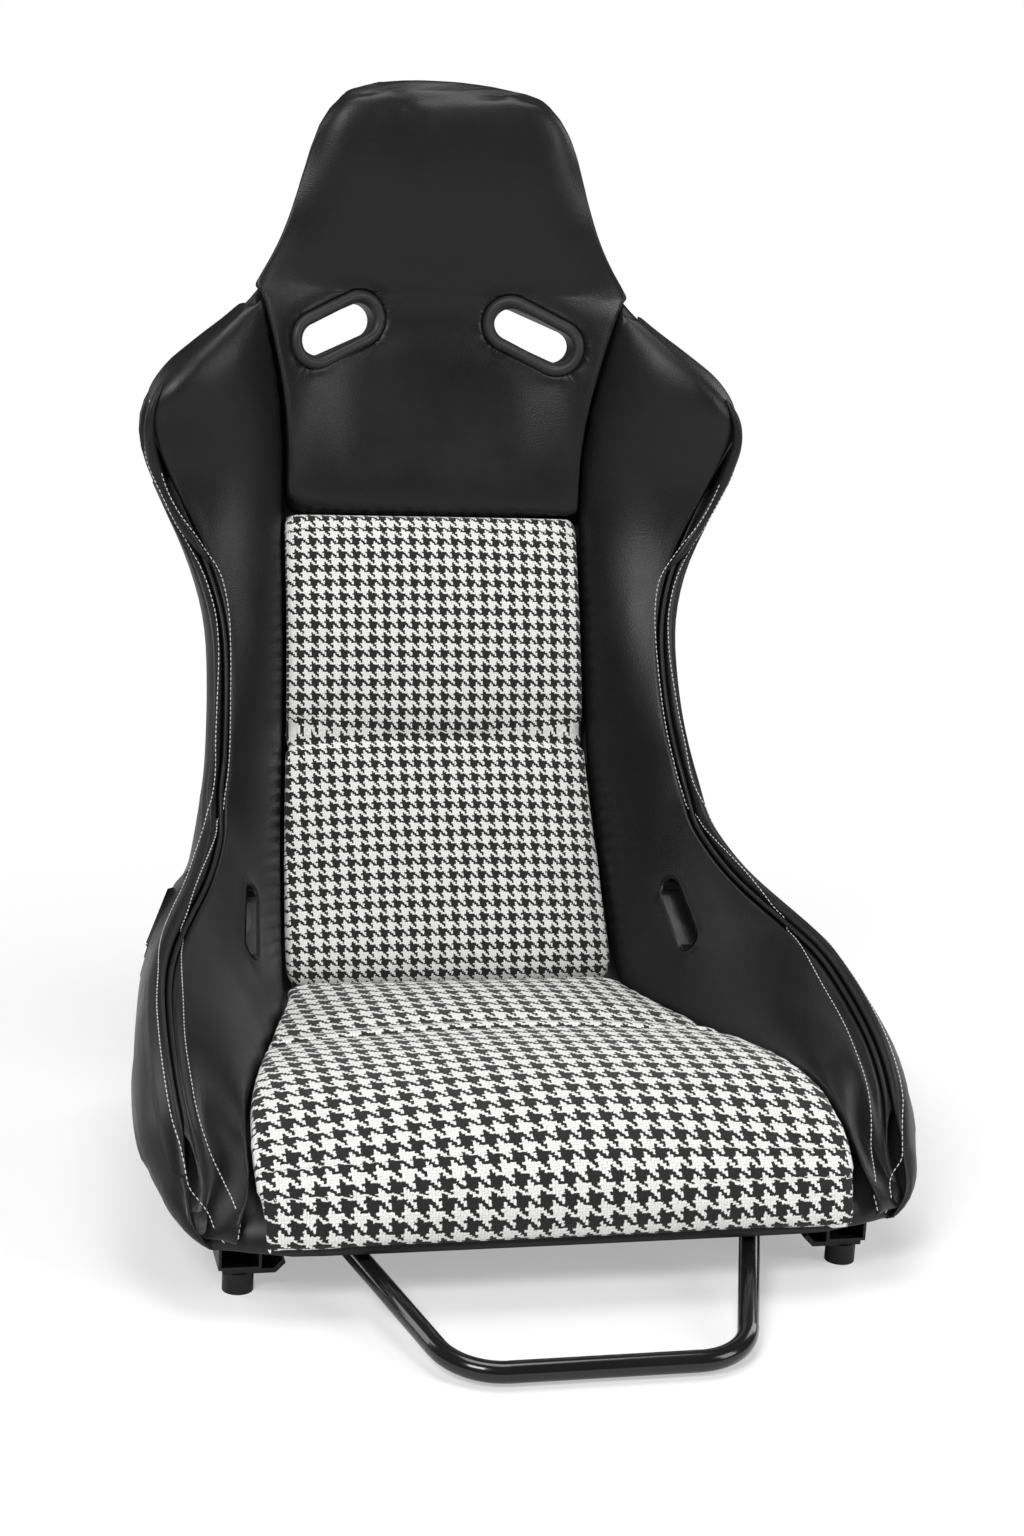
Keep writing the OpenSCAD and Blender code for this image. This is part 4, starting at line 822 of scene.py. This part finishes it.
def curve_of(name, paths, thickness=0.0):
    """A curve with an open line for each path. With a thickness it is a roll with thin ends."""
    curve = bpy.data.curves.new(name, "CURVE")
    curve.dimensions = "3D"
    curve.bevel_depth = thickness
    curve.bevel_resolution = 4
    for path in paths:
        line = curve.splines.new("POLY")
        line.points.add(len(path) - 1)
        line.points.foreach_set("co", np.hstack([path, np.ones((len(path), 1))]).ravel())
        share = np.linspace(0, 1, len(path))
        full = np.sin(math.pi * share) ** 0.5
        line.points.foreach_set("radius", ROLL_TIP + (1 - ROLL_TIP) * full)
    piece = bpy.data.objects.new(name, curve)
    bpy.context.scene.collection.objects.link(piece)
    return piece


def meshed(piece):
    """A plain mesh object in place of a curve or of a piece with modifiers."""
    graph = bpy.context.evaluated_depsgraph_get()
    graph.update()
    mesh = bpy.data.meshes.new_from_object(piece.evaluated_get(graph))
    name = piece.name
    bpy.data.objects.remove(piece)
    mesh.name = name
    mesh.shade_smooth()
    made = bpy.data.objects.new(name, mesh)
    bpy.context.scene.collection.objects.link(made)
    return made


def geometry_group(name, inputs):
    """A new Geometry Nodes tree with named sizes, and its input and output nodes."""
    tree = bpy.data.node_groups.new(name, "GeometryNodeTree")
    tree.interface.new_socket("Geometry", in_out="INPUT", socket_type="NodeSocketGeometry")
    for title, kind, default in inputs:
        socket = tree.interface.new_socket(title, in_out="INPUT", socket_type=kind)
        if default is not None:
            socket.default_value = default
    tree.interface.new_socket("Geometry", in_out="OUTPUT", socket_type="NodeSocketGeometry")
    return tree, tree.nodes.new("NodeGroupInput"), tree.nodes.new("NodeGroupOutput")


def stitch_group():
    """Stitches spaced along every line of a curve, each a short thread with drawn-in ends."""
    tree, start, end = geometry_group("stitch_run", [
        ("Spacing", FLOAT, 0.0045), ("Length", FLOAT, 0.003), ("Thickness", FLOAT, 0.0009),
        ("Tilt", FLOAT, 0.12), ("Seed", "NodeSocketInt", 7),
        ("Material", "NodeSocketMaterial", None)])
    dots = put(tree, "GeometryNodeResampleCurve",
               {"Curve": start.outputs["Geometry"], "Length": start.outputs["Spacing"]}, mode="LENGTH")
    radius = sums(tree, "MULTIPLY", start.outputs["Thickness"], 0.5)
    thread = put(tree, "GeometryNodeMeshCylinder",
                 {"Vertices": 6, "Side Segments": 4, "Radius": radius, "Depth": start.outputs["Length"]})
    spot = put(tree, "GeometryNodeInputPosition").outputs[0]
    part = put(tree, "ShaderNodeSeparateXYZ", {0: spot})
    along = sums(tree, "DIVIDE", part.outputs["Z"], start.outputs["Length"])
    thin = sums(tree, "MULTIPLY_ADD", sums(tree, "MULTIPLY", along, along), -STITCH_TAPER, 1.0)
    shaped = put(tree, "ShaderNodeCombineXYZ", {
        "X": sums(tree, "MULTIPLY", part.outputs["X"], thin),
        "Y": sums(tree, "MULTIPLY", part.outputs["Y"], thin), "Z": part.outputs["Z"]})
    thread = put(tree, "GeometryNodeSetPosition",
                 {"Geometry": thread.outputs["Mesh"], "Position": shaped.outputs[0]})
    way = put(tree, "GeometryNodeInputTangent").outputs[0]
    turned = put(tree, "FunctionNodeAlignRotationToVector", {"Vector": way}, axis="Z")
    lean = put(tree, "FunctionNodeRandomValue",
               {2: sums(tree, "MULTIPLY", start.outputs["Tilt"], -1.0), 3: start.outputs["Tilt"],
                "Seed": start.outputs["Seed"]}, data_type="FLOAT")
    tip = put(tree, "FunctionNodeAxisAngleToRotation",
              {"Axis": (1.0, 0.0, 0.0), "Angle": lean.outputs[1]})
    both = put(tree, "FunctionNodeRotateRotation",
               {0: turned.outputs[0], 1: tip.outputs[0]}, rotation_space="LOCAL")
    placed = put(tree, "GeometryNodeInstanceOnPoints",
                 {"Points": dots.outputs[0], "Instance": thread.outputs[0],
                  "Rotation": both.outputs[0]})
    real = put(tree, "GeometryNodeRealizeInstances", {0: placed.outputs[0]})
    done = put(tree, "GeometryNodeSetMaterial",
               {"Geometry": real.outputs[0], "Material": start.outputs["Material"]})
    tree.links.new(done.outputs[0], end.inputs[0])
    return tree


def grown(piece, tree, values):
    """Runs a Geometry Nodes tree on a piece and returns the result as a plain mesh object."""
    grow = piece.modifiers.new(tree.name, "NODES")
    grow.node_group = tree
    for item in tree.interface.items_tree:
        if item.item_type == "SOCKET" and item.in_out == "INPUT" and item.name in values:
            grow[item.identifier] = values[item.name]
    return meshed(piece)


# ---------- studio ----------
def floor_material():
    """White floor that keeps the seat's shadow."""
    tree, surface, _ = shader("studio_floor", (0.86, 0.86, 0.86), 0.7, specular=0.1)
    seen = put(tree, "ShaderNodeLightPath").outputs["Is Camera Ray"]
    spot = put(tree, "ShaderNodeTexCoord").outputs["Object"]
    away = put(tree, "ShaderNodeVectorMath", {0: spot}, operation="LENGTH").outputs["Value"]
    far = put(tree, "ShaderNodeMapRange",
              {"Value": away, "From Min": FLOOR_SHADOW, "From Max": FLOOR_WHITE},
              interpolation_type="SMOOTHSTEP").outputs[0]
    white = put(tree, "ShaderNodeEmission", {"Color": WHITE, "Strength": 1.0})
    glow = sums(tree, "MULTIPLY_ADD", far, 1 - FLOOR_GLOW, FLOOR_GLOW)
    share = sums(tree, "MULTIPLY", seen, glow)
    both = put(tree, "ShaderNodeMixShader", {0: share, 1: surface.outputs[0], 2: white.outputs[0]})
    tree.links.new(both.outputs[0], tree.nodes["Material Output"].inputs["Surface"])


def backdrop_world(scene):
    """White backdrop for the camera, and a faint even light on the seat."""
    world = bpy.data.worlds.new("studio")
    scene.world = world
    world.use_nodes = True
    tree = world.node_tree
    seen = put(tree, "ShaderNodeLightPath").outputs["Is Camera Ray"]
    back = tree.nodes["Background"]
    back.inputs["Color"].default_value = WHITE
    back.inputs["Strength"].default_value = 0.1
    white = put(tree, "ShaderNodeBackground", {"Color": WHITE, "Strength": 1.0})
    both = put(tree, "ShaderNodeMixShader", {0: seen, 1: back.outputs[0], 2: white.outputs[0]})
    tree.links.new(both.outputs[0], tree.nodes["World Output"].inputs["Surface"])


def lamp(name, place, target, width, height, power):
    """A soft rectangular lamp aimed at a point."""
    light = bpy.data.lights.new(name, "AREA")
    light.shape = "RECTANGLE"
    light.size, light.size_y = width, height
    light.energy = power
    holder = bpy.data.objects.new(name, light)
    bpy.context.scene.collection.objects.link(holder)
    way = Vector(target) - Vector(place)
    turn = way.to_track_quat("-Z", "Y").to_matrix().to_4x4()
    holder.matrix_world = Matrix.Translation(place) @ turn


def studio_floor(scene):
    """A wide flat floor, which isn't part of the seat."""
    floor_material()
    mesh = bpy.data.meshes.new("floor")
    corners = [(-1, -1), (1, -1), (1, 1), (-1, 1)]
    mesh.from_pydata([(x * FLOOR_REACH, y * FLOOR_REACH, 0) for x, y in corners], [], [(0, 1, 2, 3)])
    mesh.materials.append(MATERIALS["studio_floor"])
    floor = bpy.data.objects.new("floor", mesh)
    scene.collection.objects.link(floor)


def studio_camera(scene):
    """A camera in front of the seat, on the sitter's right and as high as the head."""
    camera = bpy.data.cameras.new("camera")
    camera.sensor_fit = "VERTICAL"
    camera.sensor_height = SENSOR_HEIGHT
    camera.lens = SENSOR_HEIGHT * FOCAL_ROWS / RENDER_ROWS
    view = bpy.data.objects.new("camera", camera)
    scene.collection.objects.link(view)
    forward, right = Vector(CAMERA_FORWARD), Vector(CAMERA_RIGHT)
    up = right.cross(forward)
    rows = [(right[i], up[i], -forward[i], CAMERA_PLACE[i]) for i in range(3)]
    view.matrix_world = Matrix((*rows, (0, 0, 0, 1)))
    scene.camera = view


# ---------- operators ----------
class SeatStep:
    """What every operator of the seat shares."""

    bl_options = {"REGISTER", "UNDO"}


class SEAT_OT_finishes(SeatStep, bpy.types.Operator):
    """Build the finishes"""

    bl_idname = "seat.finishes"
    bl_label = "Finishes"

    def execute(self, context):
        finishes(context.scene.seat_looks)
        return {"FINISHED"}


class SEAT_OT_shell(SeatStep, bpy.types.Operator):
    """Round off the moulded shell"""

    bl_idname = "seat.shell"
    bl_label = "Shell"

    def execute(self, context):
        looks = context.scene.seat_looks
        shell = subdivided(sewn_copy("shell", "moulded_shell", SHELL_CREASE))
        raise_head(shell, looks.head_rise, rounds=6)
        fill_corner(shell, looks.corner_fill, rounds=4)
        finish_piece(shell, "shell_plastic", "shell_plastic", "shell")
        dress("grip_tapes")
        return {"FINISHED"}


class SEAT_OT_leather_pads(SeatStep, bpy.types.Operator):
    """Start the leather wing pads and head pad"""

    bl_idname = "seat.leather_pads"
    bl_label = "Leather pads"

    def execute(self, context):
        looks = context.scene.seat_looks
        rigid = ["shell"] + TRIMS
        start_pad("head_pad", "head_and_shoulder_pad", None,
                  rigid + ["wing_pad_right", "wing_pad_left", "back_cushion"], looks)
        for side in SIDES:
            start_pad(f"wing_pad_{side}", f"wing_padding_{side}", None,
                      rigid + ["head_pad", "back_cushion", "seat_cushion"], looks)
        return {"FINISHED"}


class SEAT_OT_cushions(SeatStep, bpy.types.Operator):
    """Start the seat and back cushions"""

    bl_idname = "seat.cushions"
    bl_label = "Cushions"

    def execute(self, context):
        looks = context.scene.seat_looks
        rigid = ["shell", "grip_tapes", "wing_pad_right", "wing_pad_left", "head_pad"]
        start_pad("seat_cushion", "houndstooth_seat_cushion", looks.cloth_voxel,
                  rigid + ["back_cushion"], looks)
        start_pad("back_cushion", "houndstooth_back_cushion", looks.cloth_voxel,
                  rigid + ["seat_cushion"], looks)
        return {"FINISHED"}


class SEAT_OT_stuffing(SeatStep, bpy.types.Operator):
    """Stuff the pads, sew the channels and cover them"""

    bl_idname = "seat.stuffing"
    bl_label = "Stuffing and covers"

    def execute(self, context):
        looks = context.scene.seat_looks
        stuff(looks)
        for node, (piece, _) in PADS.items():
            subdivided(piece)
            if node in CUSHIONS:
                cover_cushion(piece, node, looks)
            else:
                cover_leather(piece, node, looks)
        return {"FINISHED"}


class SEAT_OT_edge_bands(SeatStep, bpy.types.Operator):
    """Round off the leather caps and the piped welts along the rim, and roll the shoulders"""

    bl_idname = "seat.edge_bands"
    bl_label = "Edge caps and welts"

    def execute(self, context):
        looks = context.scene.seat_looks
        for name, side in SIDES.items():
            under = surface_tree([bpy.data.objects["moulded_shell"],
                                  bpy.data.objects[f"wing_padding_{name}"]])
            cap = subdivided(sewn_copy(f"edge_trim_{name}", f"rim_cap_{name}", CAP_CREASE))
            welt = subdivided(sewn_copy(f"edge_welt_{name}", f"piped_welt_{name}"), levels=2)
            for piece in (cap, welt):
                fill_corner(piece, looks.corner_fill, rounds=2)
                run_out(piece, under, CAP_RUN_OUT)
            finish_piece(cap, "band_leather", "black_leather", f"edge_trim_{name}")
            finish_piece(welt, "band_leather", "black_leather", f"edge_welt_{name}")
            path = smooth_path(SHOULDER_ROLL, side)
            roll = meshed(curve_of(f"shoulder_roll_{name}", [path], ROLL_RADIUS))
            finish_piece(roll, "band_leather", "black_leather")
        return {"FINISHED"}


class SEAT_OT_stitches(SeatStep, bpy.types.Operator):
    """Sew the contrast stitches along both edges of the rim band"""

    bl_idname = "seat.stitches"
    bl_label = "Contrast stitches"

    def execute(self, context):
        looks = context.scene.seat_looks
        sewn = ["moulded_shell"] + [f"{piece}_{name}" for name in SIDES
                                    for piece in ("wing_padding", "rim_cap", "shoulder_roll")]
        tree = surface_tree([bpy.data.objects[name] for name in sewn])
        paths = []
        for side in SIDES.values():
            for seam, way in ((OUTER_SEAM, OUTER_WAY), (INNER_SEAM, INNER_WAY)):
                facing = (side * way[0], way[1], way[2])
                paths.append(lay_on(tree, smooth_path(seam, side), facing))
        run = curve_of("contrast_stitches", paths)
        made = grown(run, stitch_group(), {
            "Spacing": looks.stitch_pitch, "Length": looks.stitch_length,
            "Thickness": looks.stitch_thickness, "Material": MATERIALS["sewing_thread"]})
        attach(made, "seat")
        return {"FINISHED"}


class SEAT_OT_belt_slots(SeatStep, bpy.types.Operator):
    """Finish the belt slot bezels, lap slot trims and their screws"""

    bl_idname = "seat.belt_slots"
    bl_label = "Belt slots"

    def execute(self, context):
        dress(*BEZELS)
        under = ["moulded_shell"] + [f"wing_padding_{side}" for side in SIDES]
        tree = surface_tree([bpy.data.objects[name] for name in under])
        for name in LAP_TRIMS:
            edging = sewn_copy(name, f"{name}_edging")
            places = coords(edging.data)
            for i, place in enumerate(places):
                spot, normal, _, _ = tree.find_nearest(Vector(place))
                height = (Vector(place) - spot).dot(normal)
                if height > LAP_TRIM_LIFT:
                    places[i] = spot + normal * LAP_TRIM_LIFT
            set_coords(edging.data, places)
            finish_piece(edging, "black_leather", "black_leather", name)
        return {"FINISHED"}


class SEAT_OT_slide_rails(SeatStep, bpy.types.Operator):
    """Finish the slide rails, feet, travel stops, brackets and pivot ears"""

    bl_idname = "seat.slide_rails"
    bl_label = "Slide rails and feet"

    def execute(self, context):
        dress("lower_rail_right", "lower_rail_left", "foot_brackets", "floor_spacers", "travel_stops")
        dress("upper_rail_right", "upper_rail_left", "glide_shoes", "stop_pins", "rail_brackets",
              "levelling_blocks", "pivot_ears", "pivot_bushes")
        return {"FINISHED"}


class SEAT_OT_fasteners(SeatStep, bpy.types.Operator):
    """Finish the bolts, nuts, inserts and screws"""

    bl_idname = "seat.fasteners"
    bl_label = "Fasteners"

    def execute(self, context):
        dress("rail_bolts", "rail_nuts", "shell_inserts", "shell_bolts", "ear_screws")
        return {"FINISHED"}


class SEAT_OT_release_bar(SeatStep, bpy.types.Operator):
    """Finish the release bar, latch claws and return springs"""

    bl_idname = "seat.release_bar"
    bl_label = "Release bar"

    def execute(self, context):
        dress("release_bar", "latch_claws", "return_springs")
        return {"FINISHED"}


class SEAT_OT_stage(SeatStep, bpy.types.Operator):
    """Set the floor, backdrop light, lamps and camera"""

    bl_idname = "seat.stage"
    bl_label = "Studio"

    def execute(self, context):
        scene = context.scene
        scene.view_settings.view_transform = "Standard"
        studio_floor(scene)
        backdrop_world(scene)
        for values in LAMPS:
            lamp(*values)
        studio_camera(scene)
        return {"FINISHED"}


STEPS = ("finishes", "shell", "leather_pads", "cushions", "stuffing", "edge_bands", "stitches",
         "belt_slots", "slide_rails", "fasteners", "release_bar", "stage")


class SEAT_PT_panel(bpy.types.Panel):
    """The seat's pieces, in the order in which they are made"""

    bl_idname = "SEAT_PT_panel"
    bl_label = "Racing Seat"
    bl_space_type = "VIEW_3D"
    bl_region_type = "UI"
    bl_category = "Racing Seat"

    def draw(self, context):
        looks = context.scene.seat_looks
        for name in looks.__annotations__:
            self.layout.prop(looks, name)
        for step in STEPS:
            self.layout.operator(f"seat.{step}")


CLASSES = (SeatLooks, SEAT_OT_finishes, SEAT_OT_shell, SEAT_OT_leather_pads, SEAT_OT_cushions,
           SEAT_OT_stuffing, SEAT_OT_edge_bands, SEAT_OT_stitches, SEAT_OT_belt_slots,
           SEAT_OT_slide_rails, SEAT_OT_fasteners, SEAT_OT_release_bar, SEAT_OT_stage, SEAT_PT_panel)


def register():
    for kind in CLASSES:
        bpy.utils.register_class(kind)
    bpy.types.Scene.seat_looks = bpy.props.PointerProperty(type=SeatLooks)


def unregister():
    del bpy.types.Scene.seat_looks
    for kind in reversed(CLASSES):
        bpy.utils.unregister_class(kind)


def main():
    register()
    for step in STEPS:
        getattr(bpy.ops.seat, step)()


if __name__ == "__main__":
    main()
